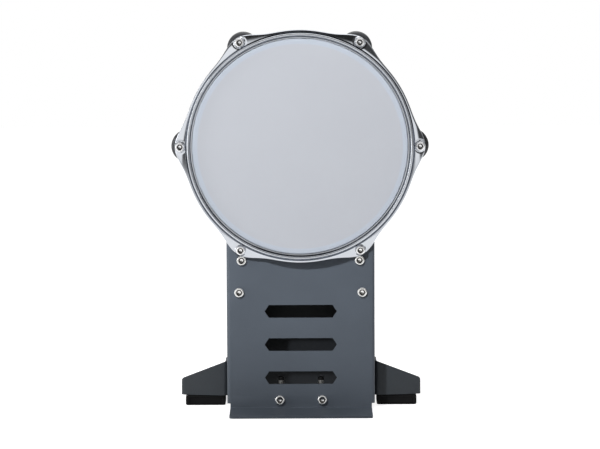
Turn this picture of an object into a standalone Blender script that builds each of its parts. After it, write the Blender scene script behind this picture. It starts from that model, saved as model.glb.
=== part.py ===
"""Electronic kick drum pad: a round mesh-head pad held by a folded steel tower.

Units are metres and +Z is up. The head faces -Y, towards the player, +X is to the right
as the player sees it, and the origin is on the floor under the middle of the object.
Depths are counted backwards from the front face of the tower's plate.
"""
import math

import bmesh
import bpy
from mathutils import Matrix, Vector

MM = 0.001
GAP = 0.3 * MM

# Folded sheet steel
SHEET = 2.0 * MM
BEND = 1.0 * MM
BEND_STEPS = 3

# Tower
FACE_Y = -60.0 * MM
TOWER_HALF = 70.4 * MM
TOWER_DEPTH = 60.0 * MM
TOWER_LOW = 6.2 * MM
TOWER_TOP = 166.0 * MM
RETURN_INNER = 54.0 * MM
TONGUE_HALF = 67.5 * MM
TONGUE_TOP = 14.0 * MM
LIP_REACH = 58.0 * MM
LIP_CORNER = 4.0 * MM
SLOT_TIP = 34.4 * MM
SLOT_STRAIGHT = 30.3 * MM
SLOT_HALF_HEIGHT = 6.15 * MM
SLOT_FIRST = 30.8 * MM
SLOT_PITCH = 31.8 * MM
SLOT_COUNT = 3

# Base behind the tower
FRAME_HALF = 66.0 * MM
FRAME_TOP = 160.0 * MM
FRAME_LOW = 12.3 * MM
FRAME_FOLD = 20.0 * MM
FLOOR_HALF = 111.0 * MM
FLOOR_EAR_INNER = 74.4 * MM
FLOOR_EAR_FRONT = 40.0 * MM
FLOOR_STEP = 64.0 * MM
BASE_REACH = 178.0 * MM
REAR_LIP_TOP = 27.0 * MM
REAR_LIP_HALF = 64.0 * MM
FLOOR_WIDE_END = 116.0 * MM
TAIL_FROM = 150.0 * MM
TAIL_HALF = 67.0 * MM
FLOOR_END = 172.0 * MM

# Wings
WING_LOW = 10.0 * MM
WING_ROOT = 28.0 * MM
WING_TIP = 36.0 * MM
WING_END = 124.0 * MM
WING_HALF = 115.0 * MM
WING_ROOT_TOP = 43.6 * MM
WING_SHOULDER = 111.5 * MM
WING_SHOULDER_TOP = 27.2 * MM
WING_CORNER = 4.0 * MM
WING_WALL_TOP = 22.6 * MM
WING_TAIL_TOP = 13.4 * MM
FLANGE_INNER = 73.4 * MM

# Feet
FOOT_HALF = 19.2 * MM
FOOT_DEPTH = 26.0 * MM
FOOT_CORNER = 2.0 * MM
FOOT_RECESS = 1.2 * MM
FOOT_RIM_SIDE = 3.6 * MM
FOOT_RIM_TOP = 2.0 * MM
FOOT_RIM_LOW = 1.2 * MM
FOOT_BORE = 4.6 * MM
FOOT_SEAT = 5.0 * MM

# Anchor spikes
BRACKET_HALF = 32.0 * MM
BRACKET_SHEET = 2.5 * MM
BRACKET_LOW = 2.5 * MM
BRACKET_TOP = 18.5 * MM
BRACKET_REACH = 36.0 * MM
SPIKE_X = 19.0 * MM
SPIKE_DEPTH = 24.0 * MM
SPIKE_RADIUS = 2.5 * MM
SPIKE_TIP = 1.5 * MM
SPIKE_POINT = 5.0 * MM
SPIKE_NOSE = 0.3 * MM
SPIKE_TOP = 25.2 * MM
SPIKE_STUB = 1.6 * MM
STUB_RADIUS = 1.9 * MM
CAP_RADIUS = 2.9 * MM
CAP_TOP = 28.6 * MM

# Pad
PAD_Z = 252.0 * MM
SHELL_OUTER = 101.5 * MM
SHELL_EDGE = 100.6 * MM
SHELL_INNER = 97.5 * MM
SHELL_FRONT = -11.2 * MM
SHELL_ROUND = 1.3 * MM
SHELL_STEP = 0.9 * MM
SHELL_REAR = 52.0 * MM
POD_CENTRE = 107.0 * MM
POD_RADIUS = 15.2 * MM
POD_FILLET = 6.0 * MM
LUG_ANGLES = (0.0, 60.0, 120.0, 180.0)
LUG_ROOT = 0.1 * MM
SCREW_ANGLES = (45.0, 135.0, 225.0, 315.0)
POD_FRONT = 4.0 * MM
POD_FULL = 7.0 * MM
POD_WAIST = 24.0 * MM
POD_REAR = 40.0 * MM
POD_NOSE_SHARE = 0.85
POD_TAIL_SHARE = 0.3
POD_STEPS = 5
FILLET_STEPS = 3
RIM_STEPS = 6
LONG_RIM_STEPS = 24
NECK_HALF = 66.5 * MM
NECK_LOW = 104.0 * MM
NECK_HIGH = 185.0 * MM
NECK_REAR = 34.0 * MM
NECK_WALL = 5.0 * MM
NECK_SIDE = 2.5 * MM
NECK_FLOOR = 4.0 * MM
NECK_BOSS = 5.4 * MM
CUTOUT_RADIUS = 103.0 * MM
SCREW_CIRCLE = 88.0 * MM
SCREW_BOSS = 5.0 * MM
BOSS_FRONT = 17.0 * MM

# Hoop and head
BOLT_CIRCLE = 113.7 * MM
BOLT_COUNT = 6
THREAD_END = 28.0 * MM
TENSION_LENGTH = 30.0 * MM
HOOP_WALL_IN = 104.7 * MM
HOOP_RIM_OUT = 107.4 * MM
HOOP_FRONT = -18.0 * MM
HOOP_FLANGE = 110.5 * MM
HOOP_EAR = 8.1 * MM
HOOP_EAR_POWER = 4.0
HOOP_STEPS_PER_EAR = 16
HOOP_EDGE = 0.8 * MM
HOOP_DRAFT = 0.5 * MM
HOOP_FILLET = 2.0 * MM
FLANGE_FRONT = -6.2 * MM
FLANGE_REAR = -3.2 * MM
SHOULDER_IN = 102.3 * MM
SHOULDER_REAR = -6.6 * MM
SHOULDER_FRONT = -8.4 * MM
HEAD_FRONT = -12.3 * MM
HEAD_THICK = 0.8 * MM
HEAD_OUTER = 101.7 * MM
HEAD_BEND = 2.8 * MM
HEAD_SKIRT = -1.2 * MM
HEAD_BEND_STEPS = 3
FLESH_IN = 102.0 * MM
FLESH_OUT = 104.4 * MM
FLESH_FRONT = -6.3 * MM
FLESH_REAR = -0.8 * MM
FLESH_EDGE = 0.5 * MM

# Sensor and output
SENSOR_HALF = 71.0 * MM
SENSOR_CHAMFER = 12.0 * MM
SENSOR_FRONT = 14.0 * MM
SENSOR_THICK = 2.7 * MM
FOAM_REAR_RADIUS = 46.0 * MM
FOAM_FRONT_RADIUS = 38.0 * MM
FOAM_CROWN = 1.2 * MM
FOAM_ROUND = 2.0 * MM
PIEZO_RADIUS = 17.5 * MM
PIEZO_THICK = 0.6 * MM
COVER_THICK = 3.0 * MM
COVER_RADIUS = 101.2 * MM
COVER_EDGE = 1.5 * MM
JACK_Z = 205.0 * MM
JACK_HALF_X = 8.0 * MM
JACK_HALF_Z = 12.0 * MM
JACK_FRONT = 36.0 * MM
JACK_BUSH = 4.6 * MM
JACK_BORE = 3.3 * MM
JACK_BORE_END = 40.0 * MM
JACK_REAR = 60.0 * MM
LEAD_RADIUS = 1.25 * MM
LEAD_Z = 238.0 * MM
LEAD_POINTS = 14
LEAD_PULL = 20.0 * MM

# Fasteners: M5 and M4, with round heads and hexagon sockets
M5 = 2.5 * MM
M4 = 2.0 * MM
CLEARANCE = 0.3 * MM
SOCKET_FLOOR = 0.3
SCREW_EDGE = 0.4 * MM
BOLT_HEAD = (4.6 * MM, 3.0 * MM)
BOLT_LENGTH = 13.0 * MM
BOLT_SOCKET = 2.3 * MM
NUT_SIZE = 4.6 * MM
NUT_HEIGHT = 4.0 * MM
SCREW_HEAD = (3.6 * MM, 2.2 * MM)
SCREW_LENGTH = 8.0 * MM
FOOT_SCREW_LENGTH = 12.0 * MM
SCREW_SOCKET = 1.7 * MM
TENSION_HEAD = (4.25 * MM, 3.2 * MM)
JACK_NUT_SIZE = 7.0 * MM
JACK_NUT_HEIGHT = 2.5 * MM

# Steps round curves, and the angle past which an edge stays sharp
HEAD_SEGMENTS = 16
SHANK_SEGMENTS = 10
HOLE_SEGMENTS = 12
DISC_SEGMENTS = 32
FOAM_SEGMENTS = 48
ROUND_SEGMENTS = 64
ARC_SEGMENTS = 96
SHARP_ANGLE = math.radians(35.0)

NECK_BOLTS = {"upper": (56.1 * MM, 143.4 * MM), "lower": (58.5 * MM, 112.8 * MM)}
BASE_BOLT = (20.2 * MM, 9.5 * MM)
FRAME_SCREWS = {"upper": (60.0 * MM, 140.0 * MM), "lower": (60.0 * MM, 45.0 * MM)}
WING_SCREWS = {"front": (38.0 * MM, 24.0 * MM), "rear": (51.0 * MM, 31.0 * MM)}
# Each pair of feet: centre across, front face behind the plate, height, and the side of the panel.
FEET = {
    "front": (91.8 * MM, 33.0 * MM, 9.7 * MM, -1),
    "rear": (46.0 * MM, 148.0 * MM, 12.0 * MM, 1),
}
SIDES = {"left": -1, "right": 1}


def clear_scene():
    """Remove whatever the scene holds."""
    for thing in list(bpy.data.objects):
        bpy.data.objects.remove(thing, do_unlink=True)


def material(name, colour, roughness, metallic=0.0):
    """Principled material with one colour."""
    made = bpy.data.materials.new(name)
    made.use_nodes = True
    shader = made.node_tree.nodes["Principled BSDF"]
    shader.inputs["Base Color"].default_value = (*colour, 1.0)
    shader.inputs["Roughness"].default_value = roughness
    shader.inputs["Metallic"].default_value = metallic
    return made


def slate_steel():
    return material("slate_powder_coat", (0.115, 0.135, 0.155), 0.5, 0.2)


def dark_steel():
    return material("dark_powder_coat", (0.06, 0.066, 0.075), 0.5, 0.2)


def chrome():
    return material("chrome", (0.85, 0.85, 0.87), 0.08, 1.0)


def zinc():
    return material("zinc_plate", (0.7, 0.7, 0.68), 0.3, 1.0)


def black_plastic():
    return material("black_plastic", (0.02, 0.02, 0.022), 0.45)


def black_rubber():
    return material("black_rubber", (0.012, 0.012, 0.013), 0.75)


def mesh_cloth():
    return material("mesh_cloth", (0.53, 0.57, 0.61), 0.8)


def grey_foam():
    return material("grey_foam", (0.09, 0.09, 0.1), 0.95)


def brass():
    return material("brass", (0.72, 0.55, 0.24), 0.35, 1.0)


def aluminium():
    return material("aluminium", (0.75, 0.76, 0.78), 0.35, 1.0)


def mesh_object(name, work, finish):
    """Turn a bmesh into a named object with one material."""
    bmesh.ops.recalc_face_normals(work, faces=work.faces)
    mesh = bpy.data.meshes.new(name)
    work.to_mesh(mesh)
    work.free()
    mesh.shade_smooth()
    mesh.set_sharp_from_angle(angle=SHARP_ANGLE)
    if finish is not None:
        mesh.materials.append(finish)
    made = bpy.data.objects.new(name, mesh)
    bpy.context.collection.objects.link(made)
    return made


def place(axis, u, v, w):
    """World point for a flat outline's (u, v) at height w along an axis letter."""
    if axis == "X":
        return Vector((w, u, v))
    if axis == "Y":
        return Vector((u, w, v))
    return Vector((u, v, w))


def prism(name, outline, axis, low, high, finish=None):
    """Straight solid: a closed outline carried along X, Y or Z."""
    work = bmesh.new()
    near = [work.verts.new(place(axis, u, v, low)) for u, v in outline]
    far = [work.verts.new(place(axis, u, v, high)) for u, v in outline]
    count = len(outline)
    work.faces.new(near)
    work.faces.new(far)
    for i in range(count):
        j = (i + 1) % count
        work.faces.new((near[i], near[j], far[j], far[i]))
    return mesh_object(name, work, finish)


def box(name, lows, highs, finish=None):
    """Axis-aligned block between two corners."""
    outline = [(lows[0], lows[1]), (highs[0], lows[1]), (highs[0], highs[1]), (lows[0], highs[1])]
    return prism(name, outline, "Z", lows[2], highs[2], finish)


def circle(radius, segments, centre=(0.0, 0.0), start=0.0):
    """Points of a circle as a flat outline."""
    turns = [start + 2.0 * math.pi * i / segments for i in range(segments)]
    return [(centre[0] + radius * math.cos(a), centre[1] + radius * math.sin(a)) for a in turns]


def rod(name, axis, centre, radius, low, high, segments=HOLE_SEGMENTS, finish=None):
    """Round bar or hole cutter along X, Y or Z."""
    return prism(name, circle(radius, segments, centre), axis, low, high, finish)


def turned(name, rings, finish=None, segments=ROUND_SEGMENTS, axis="Y", centre=(0.0, PAD_Z),
           closed=False):
    """Solid of revolution from (radius, height) pairs along X, Y or Z.

    An open profile gets a flat cap at each end. A closed one is a loop away from the axis.
    """
    work = bmesh.new()
    loops = []
    for radius, height in rings:
        points = circle(radius, segments, centre)
        loops.append([work.verts.new(place(axis, u, v, height)) for u, v in points])
    pairs = list(zip(loops, loops[1:]))
    if closed:
        pairs.append((loops[-1], loops[0]))
    else:
        work.faces.new(loops[0])
        work.faces.new(loops[-1])
    for one, two in pairs:
        for i in range(segments):
            j = (i + 1) % segments
            work.faces.new((one[i], one[j], two[j], two[i]))
    return mesh_object(name, work, finish)


def combine(target, others, operation):
    """Boolean the others into the target, and remove them."""
    for other in others:
        step = target.modifiers.new("combine", "BOOLEAN")
        step.operation = operation
        step.solver = "EXACT"
        step.object = other
    bpy.context.view_layer.update()
    finished = target.evaluated_get(bpy.context.evaluated_depsgraph_get())
    mesh = bpy.data.meshes.new_from_object(finished)
    target.modifiers.clear()
    old = target.data
    finishes = list(old.materials)
    target.data = mesh
    mesh.name = target.name
    mesh.materials.clear()
    for finish in finishes:
        mesh.materials.append(finish)
    mesh.polygons.foreach_set("material_index", [0] * len(mesh.polygons))
    mesh.shade_smooth()
    mesh.set_sharp_from_angle(angle=SHARP_ANGLE)
    bpy.data.meshes.remove(old)
    for other in others:
        bpy.data.objects.remove(other, do_unlink=True)
    return target


def carve(target, cutters):
    return combine(target, cutters, "DIFFERENCE")


def unite(target, others):
    return combine(target, others, "UNION")


def offset_corners(corners, distance):
    """Corners of the line that runs beside a polyline, to its left."""
    points = [Vector(c) for c in corners]
    ways = [(b - a).normalized() for a, b in zip(points, points[1:])]
    sides = [Vector((-w.y, w.x)) for w in ways]
    moved = [points[0] + sides[0] * distance]
    for i in range(1, len(points) - 1):
        bisector = (sides[i - 1] + sides[i]).normalized()
        moved.append(points[i] + bisector * (distance / bisector.dot(sides[i])))
    moved.append(points[-1] + sides[-1] * distance)
    return moved


def rounded(corners, radii, steps=BEND_STEPS):
    """Polyline whose inner corners are arcs of the given radii."""
    points = [Vector(c) for c in corners]
    line = [tuple(points[0])]
    for i in range(1, len(points) - 1):
        back = (points[i - 1] - points[i]).normalized()
        ahead = (points[i + 1] - points[i]).normalized()
        half = back.angle(ahead) / 2.0
        radius = radii[i - 1]
        middle = points[i] + (back + ahead).normalized() * (radius / math.sin(half))
        start = points[i] + back * (radius / math.tan(half)) - middle
        end = points[i] + ahead * (radius / math.tan(half)) - middle
        sweep = math.atan2(start.x * end.y - start.y * end.x, start.dot(end))
        for k in range(steps + 1):
            turn = sweep * k / steps
            x = start.x * math.cos(turn) - start.y * math.sin(turn)
            y = start.x * math.sin(turn) + start.y * math.cos(turn)
            line.append((middle.x + x, middle.y + y))
    line.append(tuple(points[-1]))
    return line


def folded(corners, sheet=SHEET, bend=BEND):
    """Outline of a folded sheet: the given face's corners, with the sheet to its left.

    Every bend turns left, so the given face is the outer one.
    """
    outer = rounded(corners, [bend + sheet] * (len(corners) - 2))
    inner = rounded(offset_corners(corners, sheet), [bend] * (len(corners) - 2))
    return outer + inner[::-1]


def round_edges(target, chosen, radius, segments=3):
    """Round the edges whose middle and direction the chosen test accepts."""
    work = bmesh.new()
    work.from_mesh(target.data)
    picked = []
    for edge in work.edges:
        one, two = (v.co for v in edge.verts)
        if chosen((one + two) / 2.0, (two - one).normalized()):
            picked.append(edge)
    bmesh.ops.bevel(work, geom=picked, offset=radius, segments=segments, profile=0.5, affect="EDGES")
    work.to_mesh(target.data)
    work.free()
    target.data.shade_smooth()
    target.data.set_sharp_from_angle(angle=SHARP_ANGLE)


def depth(value):
    """World Y of a depth behind the plate's front face."""
    return FACE_Y + value


def front_plate(finish):
    """Folded channel that carries the pad, with the clamping lip in one piece with it."""
    section = folded([
        (-RETURN_INNER, depth(TOWER_DEPTH)),
        (-TOWER_HALF, depth(TOWER_DEPTH)),
        (-TOWER_HALF, depth(0.0)),
        (TOWER_HALF, depth(0.0)),
        (TOWER_HALF, depth(TOWER_DEPTH)),
        (RETURN_INNER, depth(TOWER_DEPTH)),
    ])
    plate = prism("front_plate", section, "Z", TOWER_LOW, TOWER_TOP, finish)
    fold = folded([
        (depth(-LIP_REACH), 0.0),
        (depth(SHEET), 0.0),
        (depth(SHEET), TONGUE_TOP),
    ])
    lip = prism("lip", fold, "X", -TONGUE_HALF, TONGUE_HALF)
    round_edges(
        lip,
        lambda middle, way: abs(way.z) > 0.9 and middle.y < depth(-LIP_REACH) + MM,
        LIP_CORNER,
    )
    unite(plate, [lip])
    front = depth(-MM)
    back = depth(SHEET + MM)
    cutters = [rod("arc", "Y", (0.0, PAD_Z), CUTOUT_RADIUS, front, back, ARC_SEGMENTS)]
    for number in range(SLOT_COUNT):
        middle = SLOT_FIRST + number * SLOT_PITCH
        top = middle + SLOT_HALF_HEIGHT
        low = middle - SLOT_HALF_HEIGHT
        outline = [
            (-SLOT_TIP, middle), (-SLOT_STRAIGHT, low), (SLOT_STRAIGHT, low),
            (SLOT_TIP, middle), (SLOT_STRAIGHT, top), (-SLOT_STRAIGHT, top),
        ]
        cutters.append(prism("slot", outline, "Y", front, back))
    spots = [*NECK_BOLTS.values(), BASE_BOLT, bolt_place(-60.0)]
    for side in SIDES.values():
        for x, z in spots:
            cutters.append(rod("hole", "Y", (side * x, z), M5 + 2.0 * CLEARANCE, front, back))
        for x, z in FRAME_SCREWS.values():
            low = depth(TOWER_DEPTH - SHEET - MM)
            cutters.append(rod("hole", "Y", (side * x, z), M4 + CLEARANCE, low, depth(TOWER_DEPTH + MM)))
        for back_by, z in WING_SCREWS.values():
            low = side * (TOWER_HALF - SHEET - MM)
            high = side * (TOWER_HALF + MM)
            cutters.append(rod("hole", "X", (depth(back_by), z), M4 + CLEARANCE, low, high))
    return carve(plate, cutters)


def rear_frame(finish):
    """L-shaped sheet: an upright that closes the tower's back, and the floor behind it."""
    near = TOWER_DEPTH + GAP
    upright = folded([
        (depth(near), FRAME_TOP),
        (depth(near), FRAME_LOW),
        (depth(near + FRAME_FOLD), FRAME_LOW),
    ])
    frame = prism("rear_frame", upright, "X", -FRAME_HALF, FRAME_HALF, finish)
    right = [
        (FLOOR_EAR_INNER, depth(FLOOR_STEP)), (FLOOR_EAR_INNER, depth(FLOOR_EAR_FRONT)),
        (FLOOR_HALF, depth(FLOOR_EAR_FRONT)), (FLOOR_HALF, depth(FLOOR_WIDE_END)),
        (TAIL_HALF, depth(TAIL_FROM)), (TAIL_HALF, depth(FLOOR_END)),
    ]
    plan = right + [(-x, y) for x, y in reversed(right)]
    floor = prism("floor", plan, "Z", FRAME_LOW, FRAME_LOW + SHEET)
    turn_up = folded([
        (depth(BASE_REACH - FRAME_FOLD), FRAME_LOW),
        (depth(BASE_REACH), FRAME_LOW),
        (depth(BASE_REACH), REAR_LIP_TOP),
    ])
    rear_lip = prism("rear_lip", turn_up, "X", -REAR_LIP_HALF, REAR_LIP_HALF)
    unite(frame, [floor, rear_lip])
    cutters = []
    for side in SIDES.values():
        for x, z in FRAME_SCREWS.values():
            low = depth(near - MM)
            high = depth(near + SHEET + MM)
            cutters.append(rod("hole", "Y", (side * x, z), M4 + CLEARANCE, low, high))
        for centre, start, height, facing in FEET.values():
            spot = (side * centre, depth(start + FOOT_DEPTH / 2.0))
            low = FRAME_LOW - MM
            high = FRAME_LOW + SHEET + MM
            cutters.append(rod("hole", "Z", spot, M4 + CLEARANCE, low, high))
    return carve(frame, cutters)


def wing(name, side, finish):
    """Folded outrigger: swept front face, falling side wall and the flange over its foot."""
    near = TOWER_HALF + GAP
    plan = folded([
        (near, depth(TOWER_DEPTH)),
        (near, depth(WING_ROOT)),
        (WING_HALF, depth(WING_TIP)),
        (WING_HALF, depth(WING_END)),
    ])
    sheet = prism(name, [(side * x, y) for x, y in plan], "Z", WING_LOW, WING_ROOT_TOP, finish)
    slope = (WING_TIP - WING_ROOT) / (WING_HALF - near)
    flange_front = WING_ROOT + slope * (FLANGE_INNER - near) + SHEET / 2.0
    outline = [
        (side * FLANGE_INNER, depth(flange_front)),
        (side * (WING_HALF - SHEET / 2.0), depth(WING_TIP + SHEET / 2.0)),
        (side * (WING_HALF - SHEET / 2.0), depth(WING_END)),
        (side * FLANGE_INNER, depth(WING_END)),
    ]
    flange = prism("flange", outline, "Z", WING_LOW, WING_LOW + SHEET)
    unite(sheet, [flange])
    fall = (WING_ROOT_TOP - WING_SHOULDER_TOP) / (WING_SHOULDER - near)
    shoulder = rounded([
        (near - MM, WING_ROOT_TOP + fall * MM),
        (WING_HALF - MM, WING_SHOULDER_TOP + fall * (WING_SHOULDER - WING_HALF + MM)),
        (WING_HALF + MM, WING_SHOULDER_TOP - WING_CORNER - MM),
    ], [WING_CORNER])
    above = WING_ROOT_TOP + 2.0 * MM
    shape = shoulder + [(WING_HALF + MM, above), (near - MM, above)]
    top_cut = prism("top_cut", [(side * x, z) for x, z in shape], "Y", depth(0.0), depth(WING_END + MM))
    wall_front = depth(WING_TIP + SHEET)
    tail = [
        (wall_front, WING_WALL_TOP),
        (depth(WING_END + MM), WING_TAIL_TOP),
        (depth(WING_END + MM), above),
        (wall_front, above),
    ]
    wall_in = side * (WING_HALF - 2.0 * SHEET)
    tail_cut = prism("tail_cut", tail, "X", wall_in, side * (WING_HALF + MM))
    centre, start, height, facing = FEET["front"]
    spot = (side * centre, depth(start + FOOT_DEPTH / 2.0))
    foot_hole = rod("hole", "Z", spot, M4 + CLEARANCE, WING_LOW - MM, WING_LOW + SHEET + MM)
    cutters = [top_cut, tail_cut, foot_hole]
    for back_by, z in WING_SCREWS.values():
        spot = (depth(back_by), z)
        low = side * (near - MM)
        high = side * (near + SHEET + MM)
        cutters.append(rod("hole", "X", spot, M4 + CLEARANCE, low, high))
    return carve(sheet, cutters)


def foot(name, side, pair, finish):
    """Rubber block with a shallow panel in its outer face and a counterbore below.

    The panel is in the front face if the pair's facing is -1, else in the rear face.
    """
    middle_x, start, height, facing = FEET[pair]
    centre = side * middle_x
    back = start + FOOT_DEPTH
    block = box(
        name,
        (centre - FOOT_HALF, depth(start), 0.0),
        (centre + FOOT_HALF, depth(back), height),
        finish,
    )
    round_edges(
        block,
        lambda middle, way: abs(way.y) > 0.9 and middle.z < MM,
        FOOT_CORNER,
    )
    face = depth(start) if facing < 0 else depth(back)
    panel = box(
        "panel",
        (centre - FOOT_HALF + FOOT_RIM_SIDE, face - FOOT_RECESS, FOOT_RIM_LOW),
        (centre + FOOT_HALF - FOOT_RIM_SIDE, face + FOOT_RECESS, height - FOOT_RIM_TOP),
    )
    spot = (centre, depth(start + FOOT_DEPTH / 2.0))
    bore = rod("bore", "Z", spot, FOOT_BORE, -MM, FOOT_SEAT)
    hole = rod("hole", "Z", spot, M4 + CLEARANCE, FOOT_SEAT - MM, height + MM)
    return carve(block, [panel, bore, hole])


def spike_bracket(finish):
    """Angle that ties the tower's foot together and holds the two anchor spikes."""
    near = SHEET + GAP
    section = folded([
        (depth(near), BRACKET_LOW),
        (depth(near), BRACKET_TOP),
        (depth(near + BRACKET_REACH), BRACKET_TOP),
    ][::-1], BRACKET_SHEET)
    angle = prism("spike_bracket", section, "X", -BRACKET_HALF, BRACKET_HALF, finish)
    cutters = []
    for side in SIDES.values():
        x, z = BASE_BOLT
        low = depth(near - MM)
        high = depth(near + BRACKET_SHEET + MM)
        cutters.append(rod("hole", "Y", (side * x, z), M5 + CLEARANCE, low, high))
        spot = (side * SPIKE_X, depth(SPIKE_DEPTH))
        low = BRACKET_TOP - BRACKET_SHEET - MM
        cutters.append(rod("hole", "Z", spot, SPIKE_RADIUS + CLEARANCE, low, BRACKET_TOP + MM))
    return carve(angle, cutters)


def spike(name, side, finish):
    """Threaded anchor with a point below and a stub for its cap above."""
    rings = [
        (SPIKE_NOSE, SPIKE_TIP),
        (SPIKE_RADIUS, SPIKE_TIP + SPIKE_POINT),
        (SPIKE_RADIUS, SPIKE_TOP),
        (STUB_RADIUS, SPIKE_TOP),
        (STUB_RADIUS, SPIKE_TOP + SPIKE_STUB),
    ]
    made = turned(name, rings, finish, HEAD_SEGMENTS, "Z", (0.0, 0.0))
    made.location = (side * SPIKE_X, depth(SPIKE_DEPTH), 0.0)
    return made


def spike_cap(name, side, finish):
    """Soft cap pushed over the stub of a spike."""
    low = SPIKE_TOP + GAP
    inside = STUB_RADIUS + GAP
    rings = [
        (inside, low + SPIKE_STUB),
        (inside, low),
        (CAP_RADIUS, low),
        (CAP_RADIUS, CAP_TOP - CLEARANCE),
        (CAP_RADIUS - CLEARANCE, CAP_TOP),
    ]
    made = turned(name, rings, finish, HEAD_SEGMENTS, "Z", (0.0, 0.0))
    made.location = (side * SPIKE_X, depth(SPIKE_DEPTH), 0.0)
    return made


def socket_screw(name, radius, head_size, length, socket, finish):
    """Round-headed screw along Y: its seat is at the origin and its head towards -Y."""
    head_radius, head_height = head_size
    edge = SCREW_EDGE
    shank = [(radius, -edge), (radius, length - edge), (radius - edge, length)]
    head = [(head_radius, 0.0), (head_radius, edge - head_height), (head_radius - edge, -head_height)]
    body = turned(name, shank, finish, SHANK_SEGMENTS, "Y", (0.0, 0.0))
    unite(body, [turned("head", head, None, HEAD_SEGMENTS, "Y", (0.0, 0.0))])
    key = rod("key", "Y", (0.0, 0.0), socket, -head_height - MM, -head_height * SOCKET_FLOOR, 6)
    return carve(body, [key])


def hex_nut(name, size, bore, height, finish):
    """Hexagon nut along Y, its seat at the origin and its body towards +Y."""
    block = rod(name, "Y", (0.0, 0.0), size, 0.0, height, 6, finish)
    hole = rod("hole", "Y", (0.0, 0.0), bore, -MM, height + MM, SHANK_SEGMENTS)
    return carve(block, [hole])


def copy_at(name, model, position, turn=None):
    """Another object on the same mesh, at a place and a turn."""
    made = bpy.data.objects.new(name, model.data)
    bpy.context.collection.objects.link(made)
    made.matrix_world = Matrix.Translation(position) @ (turn or Matrix.Identity(4))
    return made


def bolt_place(angle):
    """(x, z) of a tension bolt at an angle in degrees from +X."""
    turn = math.radians(angle)
    return (BOLT_CIRCLE * math.cos(turn), PAD_Z + BOLT_CIRCLE * math.sin(turn))


def screw_place(angle):
    """(x, z) of a back-cover screw at an angle in degrees from +X."""
    turn = math.radians(angle)
    return (SCREW_CIRCLE * math.cos(turn), PAD_Z + SCREW_CIRCLE * math.sin(turn))


def stand_fasteners(steel):
    """Bolts, nuts and screws of the tower and base, copied from a few models."""
    bolt = socket_screw("bolt_model", M5, BOLT_HEAD, BOLT_LENGTH, BOLT_SOCKET, steel)
    nut = hex_nut("nut_model", NUT_SIZE, M5 + CLEARANCE, NUT_HEIGHT, steel)
    screw = socket_screw("screw_model", M4, SCREW_HEAD, SCREW_LENGTH, SCREW_SOCKET, steel)
    long_screw = socket_screw("long_model", M4, SCREW_HEAD, FOOT_SCREW_LENGTH, SCREW_SOCKET, steel)
    about = Matrix.Rotation(math.pi, 4, "Z")
    for label, side in SIDES.items():
        for level, (x, z) in NECK_BOLTS.items():
            front = Vector((side * x, depth(-GAP), z))
            copy_at(f"neck_bolt_{level}_{label}", bolt, front)
            behind = Vector((side * x, depth(SHEET + NECK_WALL + 2.0 * GAP), z))
            copy_at(f"neck_nut_{level}_{label}", nut, behind)
        x, z = BASE_BOLT
        copy_at(f"base_bolt_{label}", bolt, Vector((side * x, depth(-GAP), z)))
        behind = Vector((side * x, depth(SHEET + BRACKET_SHEET + 2.0 * GAP), z))
        copy_at(f"base_nut_{label}", nut, behind)
        for level, (x, z) in FRAME_SCREWS.items():
            seat = Vector((side * x, depth(TOWER_DEPTH + SHEET + 2.0 * GAP), z))
            copy_at(f"frame_screw_{level}_{label}", screw, seat, about)
        sideways = Matrix.Rotation(side * math.pi / 2.0, 4, "Z")
        for end, (back_by, z) in WING_SCREWS.items():
            seat = Vector((side * (TOWER_HALF + SHEET + 2.0 * GAP), depth(back_by), z))
            copy_at(f"wing_screw_{end}_{label}", screw, seat, sideways)
        upwards = Matrix.Rotation(math.pi / 2.0, 4, "X")
        for pair, (centre, start, height, facing) in FEET.items():
            spot = Vector((side * centre, depth(start + FOOT_DEPTH / 2.0), FOOT_SEAT - GAP))
            copy_at(f"foot_screw_{pair}_{label}", long_screw, spot, upwards)
    for model in (bolt, nut, screw, long_screw):
        bpy.data.objects.remove(model, do_unlink=True)


def pod_outline():
    """Outline of the shell's rim with its four lugs, as (x, z) steps about the centre.

    Each lug is an arc that meets the round shell through a concave fillet.
    """
    hub = SHELL_OUTER + POD_FILLET
    reach = POD_RADIUS + POD_FILLET
    swing = math.acos((hub ** 2 + POD_CENTRE ** 2 - reach ** 2) / (2.0 * hub * POD_CENTRE))
    fillet = Vector((hub * math.cos(swing), hub * math.sin(swing)))
    middle = Vector((POD_CENTRE, 0.0))
    shell_touch = fillet * (SHELL_OUTER / hub)
    pod_touch = middle + (fillet - middle) * (POD_RADIUS / reach)
    wide = math.atan2(pod_touch.y, pod_touch.x - POD_CENTRE)
    half = []
    for k in range(POD_STEPS + 1):
        turn = wide * k / POD_STEPS
        half.append(Vector((POD_CENTRE + POD_RADIUS * math.cos(turn), POD_RADIUS * math.sin(turn))))
    start = pod_touch - fillet
    sweep = start.angle_signed(shell_touch - fillet)
    for k in range(1, FILLET_STEPS + 1):
        half.append(fillet + Matrix.Rotation(-sweep * k / FILLET_STEPS, 2) @ start)
    lug = [Vector((p.x, -p.y)) for p in half[:0:-1]] + half
    spread = math.atan2(shell_touch.y, shell_touch.x)
    outline = []
    for angle in LUG_ANGLES:
        turn = math.radians(angle)
        outline += [Matrix.Rotation(turn, 2) @ p for p in lug]
        last = angle == LUG_ANGLES[-1]
        gap = math.radians(180.0 if last else 60.0) - 2.0 * spread
        steps = LONG_RIM_STEPS if last else RIM_STEPS
        for k in range(1, steps):
            along = turn + spread + gap * k / steps
            outline.append(Vector((math.cos(along), math.sin(along))) * SHELL_OUTER)
    return outline


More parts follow.
